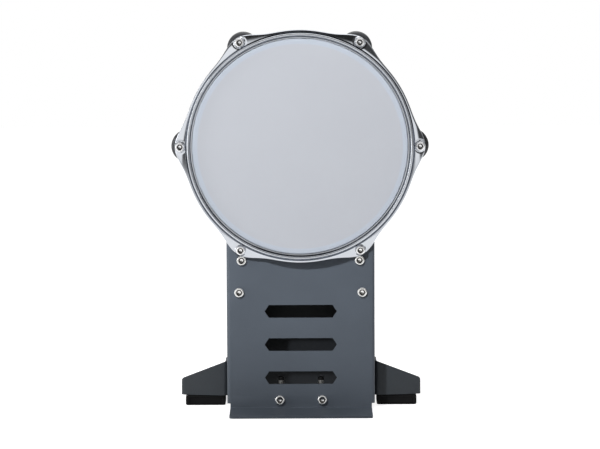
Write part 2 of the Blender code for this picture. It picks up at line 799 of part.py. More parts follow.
def lug_ring():
    """Band round the shell that carries the lugs, hollow so that it joins the wall.

    The lugs swell a little behind their front face and fall away towards the back.
    """
    sections = [
        (POD_FRONT, POD_NOSE_SHARE), (POD_FULL, 1.0),
        (POD_WAIST, 1.0), (POD_REAR, POD_TAIL_SHARE),
    ]
    outline = pod_outline()
    middle = (SHELL_INNER + SHELL_OUTER) / 2.0
    skin = SHELL_OUTER - LUG_ROOT
    work = bmesh.new()
    loops = []
    for y, share in sections:
        ring = []
        for point in outline:
            radius = skin + (point.length - skin) * share
            spot = point.normalized() * radius
            ring.append(work.verts.new((spot.x, depth(y), PAD_Z + spot.y)))
        loops.append(ring)
    for y in (POD_REAR, POD_FRONT):
        ring = []
        for point in outline:
            spot = point.normalized() * middle
            ring.append(work.verts.new((spot.x, depth(y), PAD_Z + spot.y)))
        loops.append(ring)
    count = len(outline)
    for one, two in zip(loops, loops[1:] + loops[:1]):
        for i in range(count):
            j = (i + 1) % count
            work.faces.new((one[i], one[j], two[j], two[i]))
    return mesh_object("lug_ring", work, None)


def pad_shell(finish):
    """Moulded shell: round wall, four lugs, the neck that enters the tower, screw bosses."""
    shell = turned("pad_shell", [
        (SHELL_INNER, depth(SHELL_REAR)), (SHELL_INNER, depth(SHELL_FRONT + SHELL_ROUND)),
        (SHELL_INNER + MM, depth(SHELL_FRONT)), (SHELL_EDGE - SHELL_ROUND, depth(SHELL_FRONT)),
        (SHELL_EDGE, depth(SHELL_FRONT + SHELL_ROUND)), (SHELL_EDGE, depth(0.0)),
        (SHELL_OUTER, depth(SHELL_STEP)), (SHELL_OUTER, depth(SHELL_REAR)),
    ], finish, closed=True)
    wall_middle = (SHELL_INNER + SHELL_OUTER) / 2.0
    neck_front = SHEET + GAP
    neck = box(
        "neck",
        (-NECK_HALF, depth(neck_front), NECK_LOW),
        (NECK_HALF, depth(NECK_REAR), NECK_HIGH),
    )
    far = depth(NECK_REAR + MM)
    centre = (0.0, PAD_Z)
    carve(neck, [rod("bore", "Y", centre, wall_middle, depth(0.0), far, ROUND_SEGMENTS)])
    hollow_front = neck_front + NECK_WALL
    inner = NECK_HALF - NECK_SIDE
    hollow = box(
        "hollow",
        (-inner, depth(hollow_front), NECK_LOW + NECK_FLOOR),
        (inner, depth(NECK_REAR + MM), NECK_HIGH + MM),
    )
    far += MM
    thick = SHELL_OUTER + NECK_FLOOR
    kept = [rod("keep", "Y", centre, thick, depth(0.0), far, ROUND_SEGMENTS)]
    low_bolt = bolt_place(-60.0)
    for side in SIDES.values():
        spot = (side * low_bolt[0], low_bolt[1])
        kept.append(rod("keep", "Y", spot, NECK_BOSS, depth(0.0), far))
    carve(hollow, kept)
    carve(neck, [hollow])
    parts = [lug_ring(), neck]
    half = SCREW_BOSS / 2.0
    for angle in SCREW_ANGLES:
        spot = screw_place(angle)
        parts.append(rod("boss", "Y", spot, SCREW_BOSS, depth(BOSS_FRONT), depth(SHELL_REAR)))
        turn = Matrix.Rotation(math.radians(angle), 2)
        corners = [(SCREW_CIRCLE, -half), (wall_middle, -half), (wall_middle, half), (SCREW_CIRCLE, half)]
        rib = [turn @ Vector(c) for c in corners]
        outline = [(p.x, PAD_Z + p.y) for p in rib]
        parts.append(prism("rib", outline, "Y", depth(BOSS_FRONT + MM), depth(SHELL_REAR - MM)))
    unite(shell, parts)
    cutters = []
    for angle in SCREW_ANGLES:
        low = depth(BOSS_FRONT - MM)
        high = depth(SHELL_REAR + MM)
        cutters.append(rod("hole", "Y", screw_place(angle), M4 + CLEARANCE, low, high))
    for number in range(BOLT_COUNT):
        spot = bolt_place(60.0 * number)
        cutters.append(rod("hole", "Y", spot, M5 + CLEARANCE, depth(0.0), depth(THREAD_END)))
    for side in SIDES.values():
        for x, z in NECK_BOLTS.values():
            low = depth(0.0)
            high = depth(hollow_front + MM)
            cutters.append(rod("hole", "Y", (side * x, z), M5 + CLEARANCE, low, high))
    return carve(shell, cutters)


def back_cover(finish):
    """Shallow round cover that closes the shell and holds the output socket."""
    near = SHELL_REAR + GAP
    far = near + COVER_THICK
    cover = turned("back_cover", [
        (COVER_RADIUS, depth(near)), (COVER_RADIUS, depth(far - COVER_EDGE)),
        (COVER_RADIUS - COVER_EDGE, depth(far)),
    ], finish)
    cutters = [rod("hole", "Y", (0.0, JACK_Z), JACK_BUSH + GAP, depth(near - MM), depth(far + MM))]
    for angle in SCREW_ANGLES:
        low = depth(near - MM)
        cutters.append(rod("hole", "Y", screw_place(angle), M4 + CLEARANCE, low, depth(far + MM)))
    return carve(cover, cutters)


def cover_screws(steel):
    """Four long screws through the cover and the bosses into the sensor plate."""
    seat = SHELL_REAR + COVER_THICK + 2.0 * GAP
    model = socket_screw("long_model", M4, SCREW_HEAD, seat - SENSOR_FRONT, SCREW_SOCKET, steel)
    about = Matrix.Rotation(math.pi, 4, "Z")
    for number, angle in enumerate(SCREW_ANGLES):
        x, z = screw_place(angle)
        copy_at(f"cover_screw_{number + 1}", model, Vector((x, depth(seat), z)), about)
    bpy.data.objects.remove(model, do_unlink=True)


def ear_reach(angle):
    """Radius of the hoop's flange at an angle: it swells into an ear at each bolt."""
    wave = (1.0 + math.cos(BOLT_COUNT * angle)) / 2.0
    return HOOP_FLANGE + HOOP_EAR * wave ** HOOP_EAR_POWER


def hoop(finish):
    """Cast hoop: a standing rim, the shoulder that pulls the head, and six ears."""
    pitch = 2.0 * math.pi / BOLT_COUNT
    angles = []
    for ear in range(BOLT_COUNT):
        for k in range(HOOP_STEPS_PER_EAR):
            s = 2.0 * k / HOOP_STEPS_PER_EAR - 1.0
            offset = pitch / 2.0 * (s + s ** 3) / 2.0
            angles.append(pitch * ear + offset)
    work = bmesh.new()
    loops = []
    for angle in angles:
        reach = ear_reach(angle)
        section = [
            (HOOP_WALL_IN, FLANGE_REAR), (HOOP_WALL_IN, SHOULDER_REAR),
            (SHOULDER_IN, SHOULDER_REAR), (SHOULDER_IN, SHOULDER_FRONT),
            (HOOP_WALL_IN, SHOULDER_FRONT - HOOP_DRAFT), (HOOP_WALL_IN, HOOP_FRONT + HOOP_EDGE),
            (HOOP_WALL_IN + HOOP_EDGE, HOOP_FRONT), (HOOP_RIM_OUT - HOOP_EDGE, HOOP_FRONT),
            (HOOP_RIM_OUT, HOOP_FRONT + HOOP_EDGE), (HOOP_RIM_OUT - HOOP_DRAFT, FLANGE_FRONT - HOOP_FILLET),
            (HOOP_RIM_OUT + HOOP_EDGE, FLANGE_FRONT), (reach - HOOP_EDGE, FLANGE_FRONT),
            (reach, FLANGE_FRONT + HOOP_EDGE), (reach, FLANGE_REAR),
        ]
        loops.append([
            work.verts.new((r * math.cos(angle), depth(d), PAD_Z + r * math.sin(angle)))
            for r, d in section
        ])
    count = len(angles)
    size = len(loops[0])
    for i in range(count):
        one, two = loops[i], loops[(i + 1) % count]
        for k in range(size):
            m = (k + 1) % size
            work.faces.new((one[k], two[k], two[m], one[m]))
    ring = mesh_object("hoop", work, finish)
    cutters = []
    for number in range(BOLT_COUNT):
        spot = bolt_place(60.0 * number)
        low = depth(FLANGE_FRONT - MM)
        high = depth(FLANGE_REAR + MM)
        cutters.append(rod("hole", "Y", spot, M5 + CLEARANCE, low, high, HEAD_SEGMENTS))
    return carve(ring, cutters)


def head_mesh(finish):
    """Woven head: a flat disc that turns over the shell's edge into the flesh hoop."""
    inner = HEAD_OUTER - HEAD_THICK
    turn_in = HEAD_OUTER - HEAD_BEND
    rings = []
    steps = HEAD_BEND_STEPS
    for k in range(steps + 1):
        turn = math.pi / 2.0 * k / steps
        rings.append((
            turn_in + HEAD_BEND * math.sin(turn),
            depth(HEAD_FRONT + HEAD_BEND * (1.0 - math.cos(turn))),
        ))
    rings.append((HEAD_OUTER, depth(HEAD_SKIRT)))
    rings.append((inner, depth(HEAD_SKIRT)))
    small = HEAD_BEND - HEAD_THICK
    for k in range(steps, -1, -1):
        turn = math.pi / 2.0 * k / steps
        rings.append((
            turn_in + small * math.sin(turn),
            depth(HEAD_FRONT + HEAD_THICK + small * (1.0 - math.cos(turn))),
        ))
    return turned("head_mesh", rings, finish)


def flesh_hoop(finish):
    """Ring that the head's edge is bonded to, pulled down by the hoop's shoulder."""
    return turned("flesh_hoop", [
        (FLESH_IN, depth(FLESH_REAR)), (FLESH_IN, depth(FLESH_FRONT)),
        (FLESH_OUT - FLESH_EDGE, depth(FLESH_FRONT)), (FLESH_OUT, depth(FLESH_FRONT + FLESH_EDGE)),
        (FLESH_OUT, depth(FLESH_REAR)),
    ], finish, closed=True)


def tension_bolts(steel):
    """Six bolts through the ears, each with its origin on its own axis."""
    model = socket_screw("bolt_model", M5, TENSION_HEAD, TENSION_LENGTH, BOLT_SOCKET, steel)
    for number in range(BOLT_COUNT):
        x, z = bolt_place(60.0 * number)
        position = Vector((x, depth(FLANGE_FRONT - GAP), z))
        copy_at(f"tension_bolt_{number + 1}", model, position)
    bpy.data.objects.remove(model, do_unlink=True)


def sensor_plate(finish):
    """Square plate across the shell that backs the foam and the sensor."""
    a = SENSOR_HALF
    b = SENSOR_HALF - SENSOR_CHAMFER
    outline = [(-b, -a), (b, -a), (a, -b), (a, b), (b, a), (-b, a), (-a, b), (-a, -b)]
    outline = [(x, PAD_Z + z) for x, z in outline]
    far = SENSOR_FRONT + SENSOR_THICK
    plate = prism("sensor_plate", outline, "Y", depth(SENSOR_FRONT), depth(far), finish)
    low = depth(SENSOR_FRONT - MM)
    high = depth(far + MM)
    cutters = [rod("hole", "Y", (0.0, LEAD_Z), LEAD_RADIUS + MM, low, high)]
    for angle in SCREW_ANGLES:
        cutters.append(rod("hole", "Y", screw_place(angle), M4 + CLEARANCE, low, high))
    return carve(plate, cutters)


def piezo_disc(finish):
    """Brass sensor disc between the foam and the plate."""
    rear = SENSOR_FRONT - GAP
    rings = [(PIEZO_RADIUS, depth(rear - PIEZO_THICK)), (PIEZO_RADIUS, depth(rear))]
    return turned("piezo_disc", rings, finish, DISC_SEGMENTS)


def foam_block(finish):
    """Soft cone between the head and the sensor, with its crown just behind the mesh."""
    front = HEAD_FRONT + HEAD_THICK + GAP
    rear = SENSOR_FRONT - PIEZO_THICK - 2.0 * GAP
    return turned("foam_block", [
        (FOAM_FRONT_RADIUS * 0.3, depth(front)),
        (FOAM_FRONT_RADIUS * 0.7, depth(front + 0.3 * FOAM_CROWN)),
        (FOAM_FRONT_RADIUS, depth(front + FOAM_CROWN)),
        (FOAM_FRONT_RADIUS + FOAM_ROUND, depth(front + FOAM_CROWN + FOAM_ROUND)),
        (FOAM_REAR_RADIUS, depth(rear - FOAM_ROUND)), (FOAM_REAR_RADIUS - MM, depth(rear)),
    ], finish, FOAM_SEGMENTS)


def jack_body(finish):
    """Output socket: a block inside the shell with its bush through the cover."""
    block = box(
        "jack_body",
        (-JACK_HALF_X, depth(JACK_FRONT), JACK_Z - JACK_HALF_Z),
        (JACK_HALF_X, depth(SHELL_REAR), JACK_Z + JACK_HALF_Z),
        finish,
    )
    centre = (0.0, JACK_Z)
    end = depth(JACK_REAR)
    bush = rod("bush", "Y", centre, JACK_BUSH, depth(SHELL_REAR - MM), end, HEAD_SEGMENTS)
    unite(block, [bush])
    bore = rod("bore", "Y", centre, JACK_BORE, depth(JACK_BORE_END), end + MM, HEAD_SEGMENTS)
    return carve(block, [bore])


def jack_nut(finish):
    """Hexagon nut that holds the output socket to the cover."""
    nut = hex_nut("jack_nut", JACK_NUT_SIZE, JACK_BUSH + CLEARANCE, JACK_NUT_HEIGHT, finish)
    nut.location = (0.0, depth(SHELL_REAR + COVER_THICK + 2.0 * GAP), JACK_Z)
    return nut


def sensor_lead(finish):
    """Two-core lead from the sensor to the output socket, on one smooth S curve."""
    start = Vector((0.0, depth(SENSOR_FRONT), LEAD_Z))
    end = Vector((0.0, depth(JACK_FRONT - GAP), JACK_Z))
    pull = Vector((0.0, LEAD_PULL, 0.0))
    curve = bpy.data.curves.new("sensor_lead", "CURVE")
    curve.dimensions = "3D"
    curve.bevel_depth = LEAD_RADIUS
    curve.bevel_resolution = 2
    curve.use_fill_caps = True
    line = curve.splines.new("POLY")
    line.points.add(LEAD_POINTS - 1)
    for k in range(LEAD_POINTS):
        t = k / (LEAD_POINTS - 1)
        s = 1.0 - t
        point = s ** 3 * start + 3 * s * s * t * (start + pull)
        point += 3 * s * t * t * (end - pull) + t ** 3 * end
        line.points[k].co = (*point, 1.0)
    curve.materials.append(finish)
    made = bpy.data.objects.new("sensor_lead", curve)
    bpy.context.collection.objects.link(made)
    return made


def main():
    clear_scene()
    slate = slate_steel()
    dark = dark_steel()
    plastic = black_plastic()
    rubber = black_rubber()
    plated = zinc()
    bright = chrome()
    front_plate(slate)
    rear_frame(dark)
    spike_bracket(plated)
    for label, side in SIDES.items():
        wing(f"wing_{label}", side, dark)
        for pair in FEET:
            foot(f"foot_{pair}_{label}", side, pair, rubber)
        spike(f"spike_{label}", side, plated)
        spike_cap(f"spike_cap_{label}", side, plastic)
    stand_fasteners(plated)
    pad_shell(plastic)
    back_cover(plastic)
    cover_screws(plated)
    hoop(bright)
    head_mesh(mesh_cloth())
    flesh_hoop(aluminium())
    tension_bolts(bright)
    sensor_plate(aluminium())
    piezo_disc(brass())
    foam_block(grey_foam())
    jack_body(plastic)
    jack_nut(bright)
    sensor_lead(rubber)


main()
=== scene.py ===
# %% [markdown]
# # An electronic kick drum pad
# The object is a round pad of woven mesh in a chrome hoop, on a folded steel stand that a
# bass drum pedal clamps to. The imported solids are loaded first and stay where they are.
# Every piece that is made here takes its place from them, in metres, with +Z up and the
# playing face towards -Y.

import math

import bmesh
import bpy
import numpy as np
from mathutils import Matrix, Vector


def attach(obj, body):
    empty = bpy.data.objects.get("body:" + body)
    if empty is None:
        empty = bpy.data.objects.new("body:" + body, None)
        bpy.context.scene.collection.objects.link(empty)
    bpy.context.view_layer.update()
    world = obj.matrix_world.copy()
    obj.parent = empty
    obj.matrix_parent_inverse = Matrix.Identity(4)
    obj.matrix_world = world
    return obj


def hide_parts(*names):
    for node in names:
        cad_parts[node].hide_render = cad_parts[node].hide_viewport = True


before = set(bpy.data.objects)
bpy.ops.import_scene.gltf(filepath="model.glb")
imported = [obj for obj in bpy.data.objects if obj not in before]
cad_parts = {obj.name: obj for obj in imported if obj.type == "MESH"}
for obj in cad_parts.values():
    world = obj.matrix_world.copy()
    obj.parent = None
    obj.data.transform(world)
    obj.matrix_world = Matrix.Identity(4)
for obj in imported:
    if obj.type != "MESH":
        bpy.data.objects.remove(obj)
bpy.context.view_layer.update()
MM = 0.001
STAND = "stand_and_pad"
FACE = -60.0 * MM
PAD_Z = 252.0 * MM
print("nodes:", len(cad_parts))
print("front plate's face at y =", FACE, "and the middle of the pad at z =", PAD_Z)

# %% [markdown]
# ## Camera
# A long lens stands three and a half metres in front, a little higher than the pad, and
# looks down by five degrees, so that upright edges stay nearly upright, as in a picture
# taken for a shop. The place was solved from the bolts, the slots' corners and the feet.

# %% Camera
CAMERA_SPOT = (0.0035, -3.5, 0.4981)
CAMERA_TURN, CAMERA_DOWN, CAMERA_ROLL = np.radians([0.064, 5.326, -0.249])
FOCAL_LENGTH, SENSOR_WIDTH = 218.4, 36.0
lens = bpy.data.cameras.new("camera")
lens.lens = FOCAL_LENGTH
lens.sensor_width = SENSOR_WIDTH
lens.clip_end = 50.0
camera = bpy.data.objects.new("camera", lens)
bpy.context.scene.collection.objects.link(camera)
turn = Matrix.Rotation(CAMERA_TURN, 4, "Z")
tilt = Matrix.Rotation(math.pi / 2 - CAMERA_DOWN, 4, "X")
roll = Matrix.Rotation(CAMERA_ROLL, 4, "Z")
camera.matrix_world = Matrix.Translation(CAMERA_SPOT) @ turn @ tilt @ roll
bpy.context.scene.camera = camera
print("camera at", [round(x, 3) for x in camera.matrix_world.translation])

# %% [markdown]
# ## Floor, backdrop and lamps
# The floor is white to the camera and in reflections, and keeps the object's shadow. It
# ends in front of the pad just outside the picture. The world is white to the camera and
# through glass. The light that it gives is brighter behind than in front, as in a studio
# with a lit backdrop.

# %% Node helpers
def link(tree, one, other):
    """Join two sockets of one node tree."""
    tree.links.new(one, other)


def any_of(tree, first, *others):
    """Factor that is 1 for rays of the named kinds, and 0 for all other rays."""
    path = tree.nodes.new("ShaderNodeLightPath")
    factor = path.outputs[first]
    for kind in others:
        larger = tree.nodes.new("ShaderNodeMath")
        larger.operation = "MAXIMUM"
        link(tree, factor, larger.inputs[0])
        link(tree, path.outputs[kind], larger.inputs[1])
        factor = larger.outputs[0]
    return factor


# %% Floor
FLOOR_GREY, FLOOR_GLOW = 0.7, 0.86


def floor_material():
    """White to the eye with the shadow kept; a plain pale surface for other rays."""
    made = bpy.data.materials.new("studio_floor")
    made.use_nodes = True
    tree = made.node_tree
    tree.nodes.clear()
    out = tree.nodes.new("ShaderNodeOutputMaterial")
    matte = tree.nodes.new("ShaderNodeBsdfDiffuse")
    matte.inputs["Color"].default_value = (FLOOR_GREY, FLOOR_GREY, FLOOR_GREY, 1.0)
    glow = tree.nodes.new("ShaderNodeEmission")
    glow.inputs["Strength"].default_value = FLOOR_GLOW
    both = tree.nodes.new("ShaderNodeAddShader")
    pick = tree.nodes.new("ShaderNodeMixShader")
    seen = any_of(tree, "Is Camera Ray", "Is Glossy Ray", "Is Transmission Ray")
    link(tree, matte.outputs[0], both.inputs[0])
    link(tree, glow.outputs[0], both.inputs[1])
    link(tree, seen, pick.inputs[0])
    link(tree, matte.outputs[0], pick.inputs[1])
    link(tree, both.outputs[0], pick.inputs[2])
    link(tree, pick.outputs[0], out.inputs["Surface"])
    return made


half, apron = 4.0, 0.55
floor_corners = [(-half, -apron, 0.0), (half, -apron, 0.0), (half, half, 0.0), (-half, half, 0.0)]
floor_mesh = bpy.data.meshes.new("floor")
floor_mesh.from_pydata(floor_corners, [], [(0, 1, 2, 3)])
floor = bpy.data.objects.new("floor", floor_mesh)
bpy.context.scene.collection.objects.link(floor)
floor.data.materials.append(floor_material())
print("floor:", 2 * half, "m wide, and", apron, "m of it in front of the pad")

# %% [markdown]
# ## What the chrome mirrors
# A chrome hoop shows the whole room as narrow bands, so its look is the room's look. With
# white all round it would be white too, and the real one shows dark bands. So only the
# floor is white in reflections, and above it glossy rays get a room of their own. On the
# left a pale band, a dark one and a bright one lie one above the other and climb to the
# right. Above and to the right of them the room is dim. Low on the right stands one more
# bright band, and overhead is a light ceiling. The hoop's flange falls outwards, so its
# left mirrors the left of the room and its top the upper part. A border is a height plus a
# share of the way to the right, which slants it.

# %% World
world = bpy.data.worlds.new("studio")
bpy.context.scene.world = world
world.use_nodes = True
tree = world.node_tree
tree.nodes.clear()
where = tree.nodes.new("ShaderNodeTexCoord")
split = tree.nodes.new("ShaderNodeSeparateXYZ")
link(tree, where.outputs["Generated"], split.inputs[0])


def plain(level):
    """Background of one even grey."""
    made = tree.nodes.new("ShaderNodeBackground")
    made.inputs["Color"].default_value = (level, level, level, 1.0)
    return made.outputs[0]


def passed(value, low, high):
    """Factor that goes from 0 to 1 as a value goes from low to high."""
    span = tree.nodes.new("ShaderNodeMapRange")
    span.inputs["From Min"].default_value = low
    span.inputs["From Max"].default_value = high
    link(tree, value, span.inputs["Value"])
    return span.outputs["Result"]


def sloped(share):
    """The direction's Z plus a share of its X."""
    total = tree.nodes.new("ShaderNodeMath")
    total.operation = "MULTIPLY_ADD"
    total.inputs[1].default_value = share
    link(tree, split.outputs["X"], total.inputs[0])
    link(tree, split.outputs["Z"], total.inputs[2])
    return total.outputs[0]


def room(value, levels):
    """Background whose grey follows a value of the direction: pairs of it and the level."""
    fade = tree.nodes.new("ShaderNodeValToRGB")
    ramp = fade.color_ramp
    for _ in levels[2:]:
        ramp.elements.new(0.5)
    for element, (at, level) in zip(ramp.elements, levels):
        element.position = (at + 1.0) / 2.0
        element.color = (level, level, level, 1.0)
    made = tree.nodes.new("ShaderNodeBackground")
    link(tree, passed(value, -1.0, 1.0), fade.inputs["Fac"])
    link(tree, fade.outputs["Color"], made.inputs["Color"])
    return made.outputs[0]


def chosen(factor, one, other):
    """Mix of two shaders by a factor."""
    mix = tree.nodes.new("ShaderNodeMixShader")
    link(tree, factor, mix.inputs[0])
    link(tree, one, mix.inputs[1])
    link(tree, other, mix.inputs[2])
    return mix.outputs[0]


# %% Parts of the room
LEFT_SLOPE, DIM_SLOPE, RIGHT_SLOPE, RIGHT_TOP = -0.667, 1.2, 1.0, -1.3
across, along, up = (split.outputs[axis] for axis in "XYZ")
left_bands = room(sloped(LEFT_SLOPE), [
    (-1.0, 0.2), (-0.27, 0.3), (-0.2, 0.95), (0.03, 0.95), (0.06, 0.1), (0.165, 0.1),
    (0.2, 1.35), (0.62, 1.35), (0.7, 0.1), (1.0, 0.3)])
right_band = room(sloped(RIGHT_SLOPE), [
    (0.15, 0.1), (0.24, 1.3), (0.38, 1.3), (0.45, 0.08), (0.8, 0.08), (1.0, 0.4)])
dim = room(along, [(-1.0, 0.03), (-0.3, 0.05), (0.3, 0.3), (1.0, 0.9)])
ground = room(along, [(-1.0, 0.9), (1.0, 1.0)])
ceiling = plain(1.1)

# %% Room and backdrop
left_side = chosen(passed(sloped(DIM_SLOPE), 0.03, 0.12), left_bands, dim)
right_side = chosen(passed(across, 0.08, 0.11), left_side, right_band)
walls = chosen(passed(sloped(RIGHT_TOP), 0.0, 0.06), right_side, left_side)
mirrored = chosen(passed(up, 0.6, 0.75), walls, ceiling)
mirrored = chosen(passed(up, -0.2, -0.1), ground, mirrored)
fill = room(along, [(-1.0, 0.12), (-0.5, 0.2), (0.0, 0.3), (1.0, 0.8)])
unseen = chosen(any_of(tree, "Is Glossy Ray"), fill, mirrored)
backdrop = chosen(any_of(tree, "Is Camera Ray", "Is Transmission Ray"), unseen, plain(1.0))
sky = tree.nodes.new("ShaderNodeOutputWorld")
link(tree, backdrop, sky.inputs["Surface"])
bpy.context.scene.view_settings.view_transform = "Standard"
print("world nodes:", len(tree.nodes))

# %% [markdown]
# ## Lamps
# A small key lamp with a snoot stands high in front on the left. It draws the crisp shadows
# under the pad and beside the tower, and its beam fades towards the floor. A soft box hangs
# above and a little behind, and a weak upright strip on the left opens the shadows. The key
# is hidden from reflections, where it would be one hard dot in every bolt.

# %% Lamps
def hung(light, spot, aim):
    """Lamp object at a spot, turned to face another."""
    lamp = bpy.data.objects.new(light.name, light)
    bpy.context.scene.collection.objects.link(lamp)
    facing = (Vector(aim) - Vector(spot)).to_track_quat("-Z", "Y")
    lamp.matrix_world = Matrix.Translation(spot) @ facing.to_matrix().to_4x4()
    return lamp


def softbox(name, spot, aim, width, height, power):
    """Rectangular soft lamp at a spot, turned to face another."""
    light = bpy.data.lights.new(name, "AREA")
    light.shape = "RECTANGLE"
    light.size = width
    light.size_y = height
    light.energy = power
    return hung(light, spot, aim)


def snooted(name, spot, aim, power, cone, blend, radius):
    """Small hard lamp whose beam is even in the middle and fades towards the cone's edge."""
    light = bpy.data.lights.new(name, "SPOT")
    light.energy = power
    light.spot_size = math.radians(cone)
    light.spot_blend = blend
    light.shadow_soft_size = radius
    lamp = hung(light, spot, aim)
    lamp.visible_glossy = False
    return lamp


lamps = [
    snooted("key_lamp", spot=(-0.5, -1.4, 1.03), aim=(-0.02, -0.06, 0.29),
            power=115.0, cone=20.6, blend=0.74, radius=0.05),
    softbox("top_softbox", spot=(0.0, 0.3, 1.7), aim=(0.0, 0.1, 0.1),
            width=1.2, height=0.9, power=6.0),
    softbox("left_strip", spot=(-1.5, -0.5, 0.6), aim=(0.0, -0.06, 0.25),
            width=0.4, height=1.2, power=8.0),
]
for lamp in lamps:
    print(lamp.name, lamp.data.energy, "W")

# %% [markdown]
# ## Finishes
# Each finish is a Principled shader whose colour, roughness and relief come from noise in
# object space, at the size that the real surface has. Noise needs no picture and no
# unwrapping, and it keeps its size on every piece. The helpers below wire what all of the
# finishes share.

# %% Finish helpers
NOISE_LOW, NOISE_HIGH = 0.3, 0.7


def new_finish(name):
    """Material with a Principled shader, and the object coordinates that feed it."""
    made = bpy.data.materials.new(name)
    made.use_nodes = True
    tree = made.node_tree
    shader = tree.nodes["Principled BSDF"]
    place = tree.nodes.new("ShaderNodeTexCoord")
    return made, tree, shader, place.outputs["Object"]


def noise(tree, at, scale, detail, stretch=None):
    """Noise value at a scale per metre, squeezed along its axes if asked."""
    if stretch is not None:
        mapping = tree.nodes.new("ShaderNodeMapping")
        mapping.inputs["Scale"].default_value = stretch
        link(tree, at, mapping.inputs["Vector"])
        at = mapping.outputs["Vector"]
    made = tree.nodes.new("ShaderNodeTexNoise")
    made.inputs["Scale"].default_value = scale
    made.inputs["Detail"].default_value = detail
    link(tree, at, made.inputs["Vector"])
    return made.outputs["Fac"]


def shade_between(tree, factor, dark, light, low=NOISE_LOW, high=NOISE_HIGH):
    """Colour that runs from dark to light as the factor goes from low to high."""
    ramp = tree.nodes.new("ShaderNodeValToRGB")
    ramp.color_ramp.elements[0].position = low
    ramp.color_ramp.elements[0].color = (*dark, 1.0)
    ramp.color_ramp.elements[1].position = high
    ramp.color_ramp.elements[1].color = (*light, 1.0)
    link(tree, factor, ramp.inputs["Fac"])
    return ramp.outputs["Color"]


def tinted(tree, colour, tint):
    """One colour multiplied by another."""
    product = tree.nodes.new("ShaderNodeMix")
    product.data_type = "RGBA"
    product.blend_type = "MULTIPLY"
    product.inputs["Factor"].default_value = 1.0
    link(tree, colour, product.inputs["A"])
    link(tree, tint, product.inputs["B"])
    return product.outputs["Result"]


def scaled(tree, factor, low, high):
    """Number that runs from low to high as noise goes over its usual span."""
    span = tree.nodes.new("ShaderNodeMapRange")
    span.inputs["From Min"].default_value = NOISE_LOW
    span.inputs["From Max"].default_value = NOISE_HIGH
    span.inputs["To Min"].default_value = low
    span.inputs["To Max"].default_value = high
    link(tree, factor, span.inputs["Value"])
    return span.outputs["Result"]


def relief(tree, shader, height, depth):
    """Bump of a given depth in metres on the shader's normal."""
    bump = tree.nodes.new("ShaderNodeBump")
    bump.inputs["Strength"].default_value = 1.0
    bump.inputs["Distance"].default_value = depth
    link(tree, height, bump.inputs["Height"])
    link(tree, bump.outputs["Normal"], shader.inputs["Normal"])


# %% [markdown]
# ## Powder coat
# The steel sheets are sprayed with coloured powder that is baked until it flows. What is
# left is a satin skin with fine orange peel and hardly any cloud of tone. One function
# makes the tower's slate grey, and the same coat made darker as painted shade: for the
# wings, which get less light, and near black for the frame inside the tower, which lies in shade.

# %% Powder coat
def powder_coat(name, colour, roughness):
    """Baked powder: fine orange peel, a faint cloud of tone, and uneven gloss."""
    made, tree, shader, at = new_finish(name)
    cloud = noise(tree, at, 22.0, 4.0)
    speck = noise(tree, at, 1400.0, 2.0)
    dark = tuple(c * 0.94 for c in colour)
    light = tuple(c * 1.06 for c in colour)
    clouded = shade_between(tree, cloud, dark, light)
    specks = shade_between(tree, speck, (0.9, 0.9, 0.9), (1.0, 1.0, 1.0))
    link(tree, tinted(tree, clouded, specks), shader.inputs["Base Color"])
    gloss = scaled(tree, cloud, roughness - 0.04, roughness + 0.04)
    link(tree, gloss, shader.inputs["Roughness"])
    shader.inputs["Specular IOR Level"].default_value = 0.35
    relief(tree, shader, noise(tree, at, 900.0, 2.0), 0.02 * MM)
    return made


slate_coat = powder_coat("slate_powder_coat", (0.084, 0.1, 0.123), 0.5)
# Painted shade: the wings have the tower's slate coat, made darker here for the less light that they
# get.
wing_shade_coat = powder_coat("dark_powder_coat", (0.036, 0.042, 0.049), 0.5)
# Painted shade: the frame behind the plate gets a near-black coat that stands in for the shade inside
# the tower.
frame_shade_coat = powder_coat("frame_shade_powder_coat", (0.015, 0.017, 0.02), 0.55)
print("coats:", slate_coat.name, wing_shade_coat.name, frame_shade_coat.name)

# %% [markdown]
# ## Plated and bare metal
# The hoop is chromed, the tower's bolts are zinc-plated, the spikes are galvanised, and the
# plate and the ring inside are bare aluminium. All are fully metallic and differ in colour,
# in haze and in the size of the faint wave or grain, so one function makes them from those
# numbers.

# %% Chrome, zinc and bare metal
def plated(name, colour, low, high, grain, depth, stretch=None):
    """Metal: mirror or satin, with gloss that varies from low to high and a faint grain."""
    made, tree, shader, at = new_finish(name)
    shader.inputs["Metallic"].default_value = 1.0
    haze = noise(tree, at, 60.0, 4.0)
    dark = tuple(c * 0.93 for c in colour)
    link(tree, shade_between(tree, haze, dark, colour), shader.inputs["Base Color"])
    link(tree, scaled(tree, haze, low, high), shader.inputs["Roughness"])
    relief(tree, shader, noise(tree, at, grain, 2.0, stretch), depth)
    return made


chrome = plated("chrome", (0.55, 0.572, 0.61), 0.03, 0.08, 45.0, 0.03 * MM)
bright = plated("bright_chrome", (0.85, 0.85, 0.86), 0.06, 0.12, 300.0, 0.02 * MM)
zinc = plated("zinc_plate", (0.8, 0.8, 0.79), 0.12, 0.2, 1500.0, 0.01 * MM)
galvanised = plated("galvanised", (0.78, 0.78, 0.76), 0.5, 0.62, 1500.0, 0.01 * MM)
# Painted shade: a dark, dull metal for the ring inside the bolts' sockets, standing in for the shade on
# the socket's walls.
socket_shade_metal = plated("socket_painted_shade", (0.13, 0.125, 0.12), 0.25, 0.35, 900.0, 0.01 * MM)
aluminium = plated("bare_aluminium", (0.76, 0.77, 0.79), 0.28, 0.42, 900.0, 0.01 * MM,
                   stretch=(1.0, 1.0, 12.0))
brass = plated("sensor_brass", (0.72, 0.55, 0.24), 0.25, 0.4, 1200.0, 0.01 * MM)
print("metals:", [metal.name for metal in (chrome, bright, zinc, galvanised, socket_shade_metal, aluminium, brass)])

